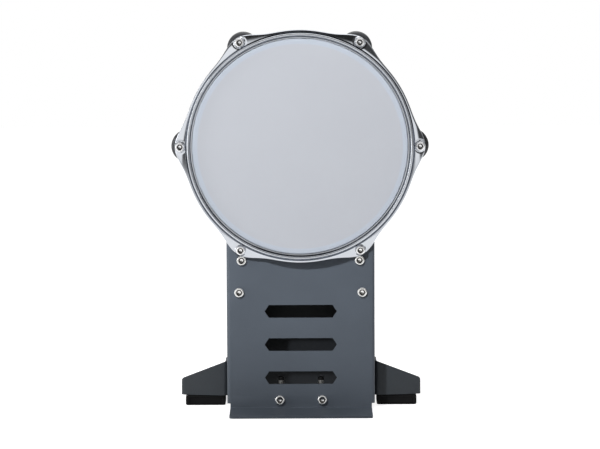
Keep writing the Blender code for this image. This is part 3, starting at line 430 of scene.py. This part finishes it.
# %% [markdown]
# ## Plastics, rubber and foam
# The shell is moulded in black plastic, the feet in rubber and the caps in vinyl. A mould
# is spark-eroded, which leaves a fine grain, and the gloss differs from patch to patch. The
# rubber is nearly black with little shine, and the foam has the deepest grain.

# %% Plastics, rubber and foam
def moulded(name, colour, low, high, grain, depth, specular=0.5):
    """Moulded polymer: near-even colour, a fine spark-eroded grain and patchy gloss."""
    made, tree, shader, at = new_finish(name)
    patch = noise(tree, at, 35.0, 4.0)
    dark = tuple(c * 0.85 for c in colour)
    light = tuple(c * 1.15 for c in colour)
    link(tree, shade_between(tree, patch, dark, light), shader.inputs["Base Color"])
    link(tree, scaled(tree, patch, low, high), shader.inputs["Roughness"])
    shader.inputs["Specular IOR Level"].default_value = specular
    relief(tree, shader, noise(tree, at, grain, 2.0), depth)
    return made


shell_plastic = moulded("shell_plastic", (0.022, 0.023, 0.026), 0.34, 0.46, 1300.0, 0.02 * MM)
socket_plastic = moulded("socket_plastic", (0.018, 0.018, 0.019), 0.22, 0.3, 900.0, 0.01 * MM)
foot_rubber = moulded("foot_rubber", (0.006, 0.006, 0.0065), 0.6, 0.8, 700.0, 0.04 * MM, 0.15)
cap_vinyl = moulded("cap_vinyl", (0.014, 0.014, 0.015), 0.35, 0.45, 500.0, 0.02 * MM)
lead_sheath = moulded("lead_sheath", (0.018, 0.018, 0.018), 0.5, 0.6, 800.0, 0.02 * MM)
foam_finish = moulded("open_cell_foam", (0.09, 0.09, 0.1), 0.85, 0.95, 1100.0, 0.25 * MM, 0.2)
print("materials so far:", len(bpy.data.materials))

# %% [markdown]
# ## Woven head
# The playing face is a cloth of white threads, so fine that from the player's place it
# looks like one pale grey. Real threads would cost millions of faces. Here two cosine waves
# in the cloth's own coordinates raise each crossing a little and darken the gaps.

# %% Woven head
def woven(name, colour, pitch, tint_from, painted_edge_tint):
    """Two-way weave: threads cross over and under in the cloth's own coordinates.

    The height is cos(pi u) cos(pi v) of the thread counts u and v, so that each crossing
    rises where the next one falls. Both counts come from the UV map, in metres over pitch.
    Past a given radius, where the cloth lies over the shell's edge, a bluer colour is painted on as
    painted light.
    """
    made, tree, shader, at = new_finish(name)
    own = tree.nodes.new("ShaderNodeUVMap")
    own.uv_map = "weave"
    split = tree.nodes.new("ShaderNodeSeparateXYZ")
    link(tree, own.outputs["UV"], split.inputs[0])
    waves = []
    for axis in ("X", "Y"):
        count = tree.nodes.new("ShaderNodeMath")
        count.operation = "MULTIPLY"
        count.inputs[1].default_value = math.pi / pitch
        link(tree, split.outputs[axis], count.inputs[0])
        wave = tree.nodes.new("ShaderNodeMath")
        wave.operation = "COSINE"
        link(tree, count.outputs[0], wave.inputs[0])
        waves.append(wave.outputs[0])
    cross = tree.nodes.new("ShaderNodeMath")
    cross.operation = "MULTIPLY"
    link(tree, waves[0], cross.inputs[0])
    link(tree, waves[1], cross.inputs[1])
    gap = tree.nodes.new("ShaderNodeMath")
    gap.operation = "ABSOLUTE"
    link(tree, cross.outputs[0], gap.inputs[0])
    dark = tuple(c * 0.9 for c in colour)
    light = tuple(c * 1.03 for c in colour)
    thread = shade_between(tree, gap.outputs[0], dark, light, 0.05, 0.6)
    reach = tree.nodes.new("ShaderNodeVectorMath")
    reach.operation = "LENGTH"
    link(tree, own.outputs["UV"], reach.inputs[0])
    rim = tree.nodes.new("ShaderNodeMapRange")
    rim.inputs["From Min"].default_value = tint_from - 0.5 * MM
    rim.inputs["From Max"].default_value = tint_from + 0.5 * MM
    link(tree, reach.outputs["Value"], rim.inputs["Value"])
    band = tree.nodes.new("ShaderNodeMix")
    band.data_type = "RGBA"
    band.inputs["B"].default_value = (*painted_edge_tint, 1.0)
    link(tree, rim.outputs["Result"], band.inputs["Factor"])
    link(tree, thread, band.inputs["A"])
    patch = noise(tree, at, 14.0, 5.0)
    cloud = shade_between(tree, patch, (0.975, 0.975, 0.98), (1.0, 1.0, 1.0))
    link(tree, tinted(tree, band.outputs["Result"], cloud), shader.inputs["Base Color"])
    shader.inputs["Roughness"].default_value = 0.72
    shader.inputs["Specular IOR Level"].default_value = 0.25
    shader.inputs["Sheen Weight"].default_value = 0.08
    relief(tree, shader, cross.outputs[0], 0.06 * MM)
    return made


WEAVE_PITCH = 0.42 * MM
# Painted light: past this radius the head's edge is painted a little bluer.
PAINTED_TINT_R = 97.0 * MM
head_cloth = woven("woven_head", (0.494, 0.513, 0.555), WEAVE_PITCH, PAINTED_TINT_R, (0.475, 0.52, 0.59))
print("materials:", len(bpy.data.materials), "and threads", round(WEAVE_PITCH / MM, 2), "mm apart")

# %% [markdown]
# ## Which node has which finish
# The solids that stay as they are get their finish here. A node's name starts with its
# kind, and the longest kind that fits decides, so that a foot's screw isn't taken for a
# rubber foot.

# %% Give every carried-over node its finish
NODE_FINISH = {
    "front_plate": slate_coat, "rear_frame": frame_shade_coat, "wing": wing_shade_coat,
    "foot_screw": zinc, "foot": foot_rubber, "spike_cap": cap_vinyl, "spike": galvanised,
    "base": zinc, "neck": zinc, "frame_screw": zinc, "wing_screw": zinc, "cover_screw": zinc,
    "pad_shell": shell_plastic, "back_cover": shell_plastic, "hoop": chrome,
    "head_mesh": head_cloth, "flesh_hoop": aluminium, "tension_bolt": chrome,
    "sensor_plate": aluminium, "sensor_lead": lead_sheath, "piezo_disc": brass,
    "foam_block": foam_finish, "jack_body": socket_plastic, "jack_nut": chrome,
}
for name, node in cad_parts.items():
    kind = max((key for key in NODE_FINISH if name.startswith(key)), key=len)
    node.data.materials.clear()
    node.data.materials.append(NODE_FINISH[kind])
print("finished nodes:", len(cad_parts))

# %% [markdown]
# ## Surfaces from grids
# A new piece is a grid of points that is worked out as whole arrays. Neighbours in the grid
# make the faces, and a ring that shrinks to one point closes the end. Most pieces here are
# round, so two helpers carry a profile of (radius, depth) pairs about the pad's axis.

# %% Mesh from grids
def grid_faces(rows, columns, wrap_rows, wrap_columns):
    """Four-sided faces between the neighbours of a grid, across its seams where they close."""
    row = np.arange(rows if wrap_rows else rows - 1)[:, None]
    column = np.arange(columns if wrap_columns else columns - 1)[None, :]
    below, beside = (row + 1) % rows, (column + 1) % columns
    faces = np.stack(np.broadcast_arrays(
        row * columns + column, row * columns + beside,
        below * columns + beside, below * columns + column), -1)
    return faces.reshape(-1, 4)


def make(name, shells, finish, body=STAND, sharp=35.0, weave=None):
    """One piece from closed grids: (points, wraps the rows, wraps the columns) for each.

    Doubles are merged and the faces turned outward. weave gives each point's cloth
    coordinates in metres.
    """
    points, faces, start = [], [], 0
    for grid, wrap_rows, wrap_columns in shells:
        rows, columns = grid.shape[:2]
        points.append(grid.reshape(-1, 3))
        faces.append(grid_faces(rows, columns, wrap_rows, wrap_columns) + start)
        start += rows * columns
    points = np.concatenate(points)
    faces = np.concatenate(faces)
    mesh = bpy.data.meshes.new(name)
    mesh.from_pydata(points.tolist(), [], faces.tolist())
    if weave is not None:
        layer = mesh.uv_layers.new(name="weave")
        layer.data.foreach_set("uv", weave.reshape(-1, 2)[faces.ravel()].astype(np.float32).ravel())
    work = bmesh.new()
    work.from_mesh(mesh)
    bmesh.ops.remove_doubles(work, verts=work.verts, dist=1e-6)
    bmesh.ops.recalc_face_normals(work, faces=work.faces)
    work.to_mesh(mesh)
    work.free()
    mesh.shade_smooth()
    mesh.set_sharp_from_angle(angle=math.radians(sharp))
    mesh.materials.append(finish)
    made = bpy.data.objects.new(name, mesh)
    bpy.context.scene.collection.objects.link(made)
    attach(made, body)
    print(name, "faces:", len(mesh.polygons))
    return made


# %% Round shapes
LEAN, LEAN_FROM = 0.09, -7.5 * MM
ROUND_COLUMNS = 240


def eased(corners, radii, steps=5):
    """Closed outlines with their corners rounded: (..., K, 2) corners to (..., K * steps, 2).

    Each corner becomes the curve (1-t)^2 A + 2t(1-t) C + t^2 B, where C is the corner and
    A and B lie one radius from it on its two sides.
    """
    before = np.roll(corners, 1, axis=-2) - corners
    after = np.roll(corners, -1, axis=-2) - corners
    radii = np.broadcast_to(np.asarray(radii, float), corners.shape[:-1])[..., None]
    long_before = np.linalg.norm(before, axis=-1, keepdims=True)
    long_after = np.linalg.norm(after, axis=-1, keepdims=True)
    start = corners + before / long_before * np.minimum(radii, long_before * 0.49)
    end = corners + after / long_after * np.minimum(radii, long_after * 0.49)
    t = np.linspace(0.0, 1.0, steps)[:, None]
    start, middle, end = (p[..., None, :] for p in (start, corners, end))
    curve = (1 - t) ** 2 * start + 2 * t * (1 - t) * middle + t ** 2 * end
    return curve.reshape(*corners.shape[:-2], -1, 2)


def around_pad(radius, depth, angle):
    """Points at a radius and angle about the pad's axis, a depth behind the plate's face.

    In front of the hoop's flange they rise by a share of their distance, as the rim leans
    back.
    """
    rise = PAD_Z + LEAN * np.maximum(LEAN_FROM - depth, 0.0)
    return np.stack(np.broadcast_arrays(
        radius * np.cos(angle), FACE + depth, rise + radius * np.sin(angle)), -1)


def full_turn(columns):
    """Even angles all round, one in each row."""
    return np.linspace(0.0, 2 * math.pi, columns, endpoint=False)[:, None]


def turned_about_pad(profile, columns=ROUND_COLUMNS):
    """Surface of revolution about the pad's axis from (radius, depth) pairs."""
    return around_pad(profile[None, :, 0], profile[None, :, 1], full_turn(columns))


# %% [markdown]
# ## Hoop
# The real hoop is cast and chromed: a standing rim, a shoulder inside that pulls the head
# down, and a flange that falls back towards its edge and swells into six ears. Ears could
# be modelled one by one and joined, but the joints would show in a mirror. Here one section
# is carried round the pad, and its outer reach follows a wave with six crests.

# %% Outline of the hoop
BOLTS = 6
BOLT_PITCH = 2 * math.pi / BOLTS
BOLT_CIRCLE = 113.7 * MM
FLANGE_R, EAR_REACH = 110.5 * MM, 8.1 * MM


def ear_angles(columns=120):
    """Angles round the hoop, closest together at the ears.

    With s from -1 to 1, the way from an ear is 0.35 s + 0.65 s^3 of half a bolt pitch.
    """
    s = np.linspace(-1.0, 1.0, columns, endpoint=False)
    offset = BOLT_PITCH / 2 * (0.35 * s + 0.65 * s ** 3)
    start = BOLT_PITCH * np.arange(BOLTS)
    return (start[:, None] + offset[None, :]).ravel()


def flange_reach(angle):
    """Outer radius: the flange's, plus the ears' reach times the fourth power of a wave."""
    wave = (1.0 + np.cos(BOLTS * angle)) / 2.0
    return FLANGE_R + EAR_REACH * wave ** 4


print("hoop's width over two ears in mm:", round(2 * (FLANGE_R + EAR_REACH) / MM, 1))

# %% Section of the hoop
RIM_SECTION = [
    (104.7, -3.2, 0.3), (104.7, -6.6, 0.2), (102.25, -6.6, 0.2), (102.25, -8.6, 0.3),
    (103.6, -8.6, 0.1), (104.5, -7.0, 0.05), (104.7, -7.0, 0.05), (104.7, -18.0, 1.0),
    (106.8, -18.0, 1.0), (107.2, -5.2, 0.05), (107.4, -5.0, 0.05),
]
HOOP_BACK = -3.2 * MM
FOOT_R, FOOT_DEPTH = 108.7 * MM, -7.2 * MM
FALL, CURVE = 0.12, 0.015 / MM
EDGE_EASE, BACK_EASE, FLANGE_EASE = 1.0 * MM, 0.4 * MM, 0.1 * MM
EDGE_IN = 1.5 * MM


def flange_depth(out):
    """Depth of the flange's front, a way out from its foot: it falls back in a parabola."""
    return FOOT_DEPTH + FALL * out + CURVE * out ** 2


def hoop_section(reach):
    """Radius and depth of the section's points, as two arrays with a row for each reach.

    The shoulder, the rim and the fold at its foot come from a list of corners in mm:
    radius, depth and how far each is eased. Fourteen corners follow the flange's parabola
    to just inside its edge, and two more make the edge.
    """
    corners = [np.broadcast_to([r * MM, d * MM], (len(reach), 2)) for r, d, _ in RIM_SECTION]
    radii = [ease * MM for _, _, ease in RIM_SECTION]
    for share in np.linspace(0.0, 1.0, 14):
        out = (reach - EDGE_IN - FOOT_R) * share
        corners.append(np.stack([FOOT_R + out, flange_depth(out)], -1))
        radii.append(FLANGE_EASE)
    corners.append(np.stack([reach, flange_depth(reach - FOOT_R)], -1))
    corners.append(np.stack([reach, np.full_like(reach, HOOP_BACK)], -1))
    radii += [EDGE_EASE, BACK_EASE]
    section = eased(np.stack(corners, 1), np.array(radii)[None, :])
    return section[..., 0], section[..., 1]


# %% Hoop with a boss round each bolt
BOSS_R, BOSS_FADE, BOSS_DEPTH = 5.5 * MM, 0.7 * MM, -6.45 * MM
GROOVE_R, GROOVE_WIDTH, GROOVE_DEPTH = 5.9 * MM, 0.5 * MM, 0.2 * MM
FRONT_FROM, FRONT_BEFORE = 107.9 * MM, -4.6 * MM


def hoop_grid():
    """Section carried round the pad, with the flange's front levelled round each bolt.

    A share t goes from 0 to 1 over the boss's fading edge and is smoothed as 3 t^2 - 2 t^3.
    Round the boss runs a groove, whose depth falls off as a bell curve.
    """
    angle = ear_angles()
    radius, depth = hoop_section(flange_reach(angle))
    swing = (angle - np.round(angle / BOLT_PITCH) * BOLT_PITCH)[:, None]
    away = np.hypot(radius * np.cos(swing) - BOLT_CIRCLE, radius * np.sin(swing))
    on_front = (depth < FRONT_BEFORE) & (radius > FRONT_FROM)
    boss = np.clip((BOSS_R - away) / BOSS_FADE, 0.0, 1.0)
    boss = boss * boss * (3 - 2 * boss)
    groove = GROOVE_DEPTH * np.exp(-((away - GROOVE_R) / GROOVE_WIDTH) ** 2)
    depth = np.where(on_front, depth + (BOSS_DEPTH - depth) * boss + groove, depth)
    return around_pad(radius, depth, angle[:, None])


hoop_ring = make("hoop_ring", [(hoop_grid(), True, True)], chrome, sharp=50.0)
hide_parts("hoop")

# %% [markdown]
# ## Head
# The head is one round of woven mesh, pulled flat over the shell's edge and down into its
# aluminium hoop. It is held tight all round, so nothing hangs and no cloth has to be
# simulated. It is a thin closed sheet: a flat field, a quarter bend and a skirt. Its cloth
# coordinates are measured along the sheet from the centre, so the weave keeps its size.

# %% Section of the head
HEAD_R = 102.0 * MM
HEAD_BEND = 1.0 * MM
HEAD_THICK = 0.5 * MM
HEAD_FRONT = -12.3 * MM
HEAD_SKIRT = -1.2 * MM
HEAD_DRAFT = 0.3 * MM


def head_profile(inset):
    """(radius, depth) from the centre over the bend to the skirt's edge, inset from the face."""
    flat = np.linspace(0.0, HEAD_R - HEAD_BEND, 28)[:-1]
    turn = np.linspace(0.0, math.pi / 2, 9)
    bend = HEAD_BEND - inset
    edge = [HEAD_R - HEAD_DRAFT - inset]
    radius = np.concatenate([flat, HEAD_R - HEAD_BEND + bend * np.sin(turn), edge])
    depth = np.concatenate([
        np.full(len(flat), HEAD_FRONT + inset),
        HEAD_FRONT + HEAD_BEND - bend * np.cos(turn), [HEAD_SKIRT]])
    return np.stack([radius, depth], -1)


# %% Head and its cloth coordinates
outside, inside = head_profile(0.0), head_profile(HEAD_THICK)
profile = np.concatenate([outside, inside[::-1]])
steps_out = np.linalg.norm(np.diff(outside, axis=0), axis=1)
cloth = np.concatenate([[0.0], np.cumsum(steps_out)])
cloth = np.concatenate([cloth, cloth[::-1]])
angle = full_turn(ROUND_COLUMNS)
weave = np.stack([cloth * np.cos(angle), cloth * np.sin(angle)], -1)
head = make("playing_head", [(turned_about_pad(profile), True, False)], head_cloth, weave=weave)
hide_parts("head_mesh")

# %% [markdown]
# ## Foam
# A soft cone of open-cell foam stands behind the head and passes each stroke on to the
# sensor. It doesn't show from outside. Its profile swells a little, as foam that is lightly
# pressed does, and is turned about the pad's axis like the head.

# %% Foam
FOAM_PROFILE = MM * np.array([
    (0.0, -11.25), (11.4, -11.2), (26.6, -10.85), (36.0, -10.3), (38.8, -9.4), (40.2, -7.9),
    (42.4, -2.0), (44.6, 4.5), (45.9, 9.6), (46.0, 11.4), (45.0, 12.75), (0.0, 12.8),
])
cone = turned_about_pad(FOAM_PROFILE, columns=96)
foam = make("foam_cone", [(cone, True, False)], foam_finish)
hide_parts("foam_block")

# %% [markdown]
# ## Shell
# The shell is moulded in one: a round wall, four lugs for the upper bolts and a neck that
# goes down into the tower for the two lowest. The wall and lugs are one section carried
# round the rim's outline, so that a lug grows out of the wall without a seam. The neck is
# a tray with rounded edges.

# %% Outline of the shell with its lugs
SHELL_R = 101.5 * MM
LUG_AT, LUG_R = 107.0 * MM, 15.2 * MM
LUG_FILLET = 6.0 * MM
LUG_TURNS = np.radians([0.0, 60.0, 120.0, 180.0])


def lug_outline(steps=28):
    """Angle and radius of one lug's outline, from the shell round the lug and back.

    The lug's circle meets the shell's through an arc of the fillet's radius that touches
    both, on the outside of each.
    """
    hub, reach = SHELL_R + LUG_FILLET, LUG_R + LUG_FILLET
    swing = math.acos((hub ** 2 + LUG_AT ** 2 - reach ** 2) / (2 * hub * LUG_AT))
    fillet = hub * np.array([math.cos(swing), math.sin(swing)])
    lug = np.array([LUG_AT, 0.0])
    touch = lug + (fillet - lug) * LUG_R / reach
    wide = math.atan2(touch[1], touch[0] - LUG_AT)
    turn = np.linspace(0.0, wide, steps)
    nose = np.stack([LUG_AT + LUG_R * np.cos(turn), LUG_R * np.sin(turn)], -1)
    first = math.atan2(*(touch - fillet)[::-1])
    last = math.atan2(*(fillet * SHELL_R / hub - fillet)[::-1])
    first += 2 * math.pi if first < last else 0.0
    back = np.linspace(first, last, 10)[1:]
    throat = fillet + LUG_FILLET * np.stack([np.cos(back), np.sin(back)], -1)
    upper = np.concatenate([nose, throat])
    points = np.concatenate([upper[:0:-1] * [1, -1], upper])
    return np.arctan2(points[:, 1], points[:, 0]), np.hypot(points[:, 0], points[:, 1])


def rim_outline():
    """Angle and radius all round the shell: lugs with plain arcs between them."""
    swing, radius = lug_outline()
    spread = swing.max()
    angles, radii = [], []
    for turn, following in zip(LUG_TURNS, [*LUG_TURNS[1:], 2 * math.pi]):
        angles.append(turn + swing)
        radii.append(radius)
        steps = int(math.degrees(following - turn)) // 2
        plain = np.linspace(turn + spread, following - spread, steps)[1:-1]
        angles.append(plain)
        radii.append(np.full(len(plain), SHELL_R))
    return np.concatenate(angles), np.concatenate(radii)


# %% Shell wall
LUG_FACE, LUG_ROUND = 4.0 * MM, 3.5 * MM
LUG_FULL, LUG_FALL, LUG_END = LUG_FACE + LUG_ROUND, 20.0 * MM, 41.0 * MM
FACE_SHARE = 0.72
SHELL_BACK = 52.0 * MM
SHELL_EDGE = 0.6 * MM


def lug_share(depth):
    """How far a lug stands out at a depth.

    It starts at the face's share, rounds up as a quarter circle, stays full for a while,
    and then falls to nothing as half a cosine wave.
    """
    nose = np.sqrt(np.clip(1 - ((LUG_FULL - depth) / LUG_ROUND) ** 2, 0.0, 1.0))
    nose = np.where(depth > LUG_FULL, 1.0, nose) * (1 - FACE_SHARE) + FACE_SHARE
    fallen = np.clip((depth - LUG_FALL) / (LUG_END - LUG_FALL), 0.0, 1.0)
    return nose * (0.5 + 0.5 * np.cos(np.pi * fallen))


def shell_grid():
    """Wall section carried round the rim's outline; the lugs add to the outer side only."""
    angle, reach = rim_outline()
    wall = MM * np.array([
        (97.5, 52.0), (97.5, -9.9), (98.3, -11.2), (99.4, -11.2), (100.6, -9.9), (100.6, 0.0),
        (101.5, 0.9), (101.5, 3.99),
    ])
    rounding = LUG_FULL - LUG_ROUND * np.cos(np.linspace(0.0, math.pi / 2, 9))
    full = np.linspace(12.0 * MM, LUG_FALL, 4)
    falling = np.linspace(21.5 * MM, LUG_END, 14)
    lug = np.concatenate([rounding, full, falling])
    back = np.array([(SHELL_R, SHELL_BACK - SHELL_EDGE), (101.0 * MM, SHELL_BACK)])
    radius = np.concatenate([wall[:, 0], np.full(len(lug), SHELL_R), back[:, 0]])
    depth = np.concatenate([wall[:, 1], lug, back[:, 1]])
    share = np.concatenate([np.zeros(len(wall)), lug_share(lug), np.zeros(len(back))])
    radius = radius[None, :] + (reach - SHELL_R)[:, None] * share[None, :]
    return around_pad(radius, depth[None, :], angle[:, None])


# %% Neck
NECK_HALF, NECK_LOW = 66.5 * MM, 104.0 * MM
NECK_ARC_R = 99.0 * MM
NECK_MIDDLE = (0.0, 126.0 * MM)


def neck_outline(inset):
    """Tray outline in (x, z): straight sides and floor, and an arc under the round shell."""
    half_width = NECK_HALF - inset
    low = NECK_LOW + inset * 1.6
    end = math.asin(half_width / NECK_ARC_R)
    turn = np.linspace(end, -end, 41)
    arc = np.stack([NECK_ARC_R * np.sin(turn), PAD_Z - NECK_ARC_R * np.cos(turn)], -1)
    high = arc[0, 1]
    side = np.stack([np.full(9, half_width), np.linspace(low, high, 10)[:-1]], -1)
    bottom = np.stack([np.linspace(-half_width, half_width, 22)[:-1], np.full(21, low)], -1)
    left = np.stack([np.full(9, -half_width), np.linspace(high, low, 10)[1:]], -1)
    return np.concatenate([bottom, side, arc, left[:-1]])


def upright_ring(line, y):
    """Ring of points from an outline in (x, z) at one y."""
    return np.stack([line[:, 0], np.full(len(line), y), line[:, 1]], -1)


def neck_grid():
    """Tray: its closed face towards the front plate, its walls running back from it.

    A row is an inset and a depth in mm. Before the first and after the last stands a middle
    point, which closes the tray's two sides.
    """
    rows = [
        (8.0, 2.3), (0.8, 2.3), (0.25, 2.5), (0.0, 3.1), (0.0, 33.6), (0.4, 34.0), (2.1, 34.0),
        (2.5, 33.6), (2.5, 7.3), (8.0, 7.3),
    ]
    rings = [upright_ring(neck_outline(inset * MM), FACE + depth * MM) for inset, depth in rows]
    middle = np.broadcast_to(NECK_MIDDLE, (len(rings[0]), 2))
    first, last = (upright_ring(middle, ring[0, 1]) for ring in (rings[0], rings[-1]))
    return np.stack([first, *rings, last])


# %% Shell
shell = make("shell_wall", [(shell_grid(), True, True), (neck_grid(), False, True)], shell_plastic)
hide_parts("pad_shell")

# %% [markdown]
# ## Bolts
# The bolts have round heads with a rounded shoulder, a hexagon socket and a cut thread. One
# profile is carried round the axis; the socket's rings are hexagons, and the thread is a
# ridge that climbs one pitch a turn. A thread could be relief in the finish, but then the
# bolt's outline would stay smooth.

# %% Bolt surface
BOLT_COLUMNS = 36
SHANK_R, THREAD_PITCH = 2.5 * MM, 0.8 * MM
THREAD_DEPTH = 0.55 * THREAD_PITCH
HEAD_EDGE = 0.2 * MM
RING_FROM, RING_TO = 0.45, 0.93


def bolt_grid(head_radius, head_height, length, socket):
    """Rows from the socket's floor over the head and down the thread to the tip.

    The axis is +Y with the seat at 0. A hexagon of corner radius s has the radius
    s cos 30 / cos(a - 30) at an angle a past a corner. The thread is a triangular wave of
    the height in pitches less the angle in turns.
    """
    angle = full_turn(BOLT_COLUMNS).ravel()
    hexagon = math.cos(math.pi / 6) / np.cos(np.mod(angle, math.pi / 3) - math.pi / 6)
    well = -0.2 * head_height
    ease = 0.22 * head_radius
    rows = [
        (0.0, well), (0.5 * socket, well - 0.1 * socket),
        (0.86 * socket * hexagon, well - 0.3 * socket),
        (0.9 * socket * hexagon, well - 0.35 * socket),
        (0.9 * socket * hexagon, -head_height + HEAD_EDGE),
        (socket * (hexagon * 0.3 + 0.7), -head_height),
        (head_radius - ease * 1.05, -head_height),
    ]
    for t in np.linspace(0.0, math.pi / 2, 9):
        shoulder = head_radius - ease * (1 - math.sin(t))
        rows.append((shoulder, -head_height + ease * (1 - math.cos(t))))
    rows += [(head_radius, -HEAD_EDGE), (head_radius - HEAD_EDGE, 0.0), (SHANK_R, 0.0)]
    for y in np.arange(0.5 * MM, length - 0.8 * MM, THREAD_PITCH / 6):
        phase = np.mod(y / THREAD_PITCH - angle / (2 * math.pi), 1.0)
        ridge = np.abs(phase * 2 - 1)
        rows.append((SHANK_R - THREAD_DEPTH * (1 - ridge), y))
    rows += [(SHANK_R * 0.85, length - 0.5 * MM), (SHANK_R * 0.7, length), (0.0, length)]
    radii = np.stack([np.broadcast_to(r, angle.shape) for r, _ in rows])
    heights = np.array([y for _, y in rows])[:, None]
    return np.stack(np.broadcast_arrays(radii * np.cos(angle), heights, radii * np.sin(angle)), -1)


def paint_socket_shade(bolt, spot, socket):
    """Painted shade: a dark, dull metal on the ring of a bolt's socket between its bright middle and
    its edge, where the socket's walls lie in shade.
    """
    middle = np.empty(len(bolt.data.polygons) * 3)
    bolt.data.polygons.foreach_get("center", middle)
    middle = middle.reshape(-1, 3) - np.array(spot)
    away = np.hypot(middle[:, 0], middle[:, 2])
    ring = (middle[:, 1] < 0.0) & (away > RING_FROM * socket) & (away < RING_TO * socket)
    bolt.data.materials.append(socket_shade_metal)
    bolt.data.polygons.foreach_set("material_index", ring.astype(np.int32))


# %% Tension bolts
TENSION_SOCKET = 2.8 * MM
TENSION_SEAT = FACE - 6.5 * MM
tension_grid = bolt_grid(head_radius=4.25 * MM, head_height=3.2 * MM, length=30.0 * MM,
                         socket=TENSION_SOCKET)
for number in range(BOLTS):
    around = number * BOLT_PITCH
    spot = (BOLT_CIRCLE * math.cos(around), TENSION_SEAT, PAD_Z + BOLT_CIRCLE * math.sin(around))
    node = f"tension_bolt_{number + 1}"
    bolt = make(f"{node}_threaded", [(tension_grid + spot, False, True)], bright, body=node)
    paint_socket_shade(bolt, spot, TENSION_SOCKET)
    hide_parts(node)

# %% Bolts of the tower
PLATE_SOCKET = 3.0 * MM
PLATE_SEAT = FACE - 0.3 * MM
PLATE_BOLTS = {
    "neck_bolt_upper": (56.1 * MM, 143.4 * MM),
    "neck_bolt_lower": (58.5 * MM, 112.8 * MM),
    "base_bolt": (20.2 * MM, 9.5 * MM),
}
SIDES = {"left": -1, "right": 1}
plate_grid = bolt_grid(head_radius=4.6 * MM, head_height=3.0 * MM, length=13.0 * MM,
                       socket=PLATE_SOCKET)
for stem, (x, z) in PLATE_BOLTS.items():
    for label, side in SIDES.items():
        spot = (side * x, PLATE_SEAT, z)
        bolt = make(f"{stem}_{label}_threaded", [(plate_grid + spot, False, True)], zinc)
        paint_socket_shade(bolt, spot, PLATE_SOCKET)
        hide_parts(f"{stem}_{label}")

# %% [markdown]
# ## Rubber feet
# Each foot is a block of black rubber with a shallow panel in its outer end. Rounded
# rectangles nested inside each other give the panel, the rim, the eased edges and the sides.
# The same rows make the front feet and, turned round, the rear ones.

# %% Foot surface
FOOT_HALF, FOOT_DEEP = 19.2 * MM, 26.0 * MM


def rounded_rectangle(half_width, low, high, radius):
    """Outline of a rounded rectangle about x = 0, from its two heights."""
    left, right = -half_width, half_width
    return eased(np.array([(left, low), (right, low), (right, high), (left, high)]), radius)


def foot_grid(centre, front, top, facing):
    """Rows of rectangles from the middle of the panel out over the rim and back.

    A row tells in mm how far its rectangle lies in from the sides, the floor and the top,
    how far its corners are eased, and how deep it stands. Two middle points close the ends.
    """
    rows = [
        (18.0, 4.4, 4.6, 0.05, 1.2), (3.9, 1.5, 2.3, 0.6, 1.2), (3.6, 1.2, 2.0, 0.8, 0.9),
        (3.4, 1.0, 1.8, 0.9, 0.15), (3.1, 0.85, 1.6, 1.0, 0.0), (0.9, 0.7, 0.7, 1.5, 0.0),
        (0.3, 0.25, 0.25, 1.8, 0.25), (0.0, 0.0, 0.0, 2.0, 0.9), (0.0, 0.0, 0.0, 2.0, 25.1),
        (0.3, 0.25, 0.25, 1.8, 25.75), (0.9, 0.7, 0.7, 1.5, 26.0), (18.0, 4.4, 4.6, 0.05, 26.0),
    ]
    rings = []
    for side_in, low_in, high_in, ease, depth in np.array(rows) * MM:
        line = rounded_rectangle(FOOT_HALF - side_in, low_in, top - high_in, ease)
        y = FACE + front + (depth if facing < 0 else FOOT_DEEP - depth)
        rings.append(upright_ring(line + (centre, 0.0), y))
    first, last = (np.broadcast_to(ring.mean(0), ring.shape) for ring in (rings[0], rings[-1]))
    return np.stack([first, *rings, last])


# %% Feet
FEET = {
    "front": {"out": 91.8 * MM, "front": 33.0 * MM, "top": 9.7 * MM, "facing": -1},
    "rear": {"out": 46.0 * MM, "front": 148.0 * MM, "top": 12.0 * MM, "facing": 1},
}
for label, side in SIDES.items():
    for end, place in FEET.items():
        node = f"foot_{end}_{label}"
        grid = foot_grid(side * place["out"], place["front"], place["top"], place["facing"])
        foot = make(f"{node}_block", [(grid, False, True)], foot_rubber)
        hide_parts(node)

# %% [markdown]
# ## Folded sheets
# The tower, the frame, the wings and the bracket are laser-cut and folded from sheet steel.
# The solids have their folds and slots already, so each keeps its shape. A copy has its
# doubles merged and its flat faces joined, and a small bevel eases the cut edges, so that
# they catch light.

# %% Sheets with eased edges
CUT_EDGE = 0.3 * MM


def eased_copy(node, finish):
    """Copy of a solid with flat faces joined and its sharp edges bevelled."""
    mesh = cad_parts[node].data.copy()
    work = bmesh.new()
    work.from_mesh(mesh)
    bmesh.ops.remove_doubles(work, verts=work.verts, dist=1e-6)
    bmesh.ops.dissolve_limit(work, angle_limit=math.radians(1.0), verts=work.verts,
                             edges=work.edges)
    work.to_mesh(mesh)
    work.free()
    mesh.shade_smooth()
    mesh.set_sharp_from_angle(angle=math.radians(35.0))
    mesh.materials.clear()
    mesh.materials.append(finish)
    made = bpy.data.objects.new(f"{node}_sheet", mesh)
    bpy.context.scene.collection.objects.link(made)
    bevel = made.modifiers.new("eased edges", "BEVEL")
    bevel.width = CUT_EDGE
    bevel.segments = 2
    bevel.limit_method = "ANGLE"
    bevel.angle_limit = math.radians(40.0)
    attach(made, STAND)
    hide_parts(node)
    print(made.name, "faces:", len(mesh.polygons))


eased_copy("front_plate", slate_coat)
eased_copy("rear_frame", frame_shade_coat)
eased_copy("wing_left", wing_shade_coat)
eased_copy("wing_right", wing_shade_coat)
eased_copy("spike_bracket", zinc)
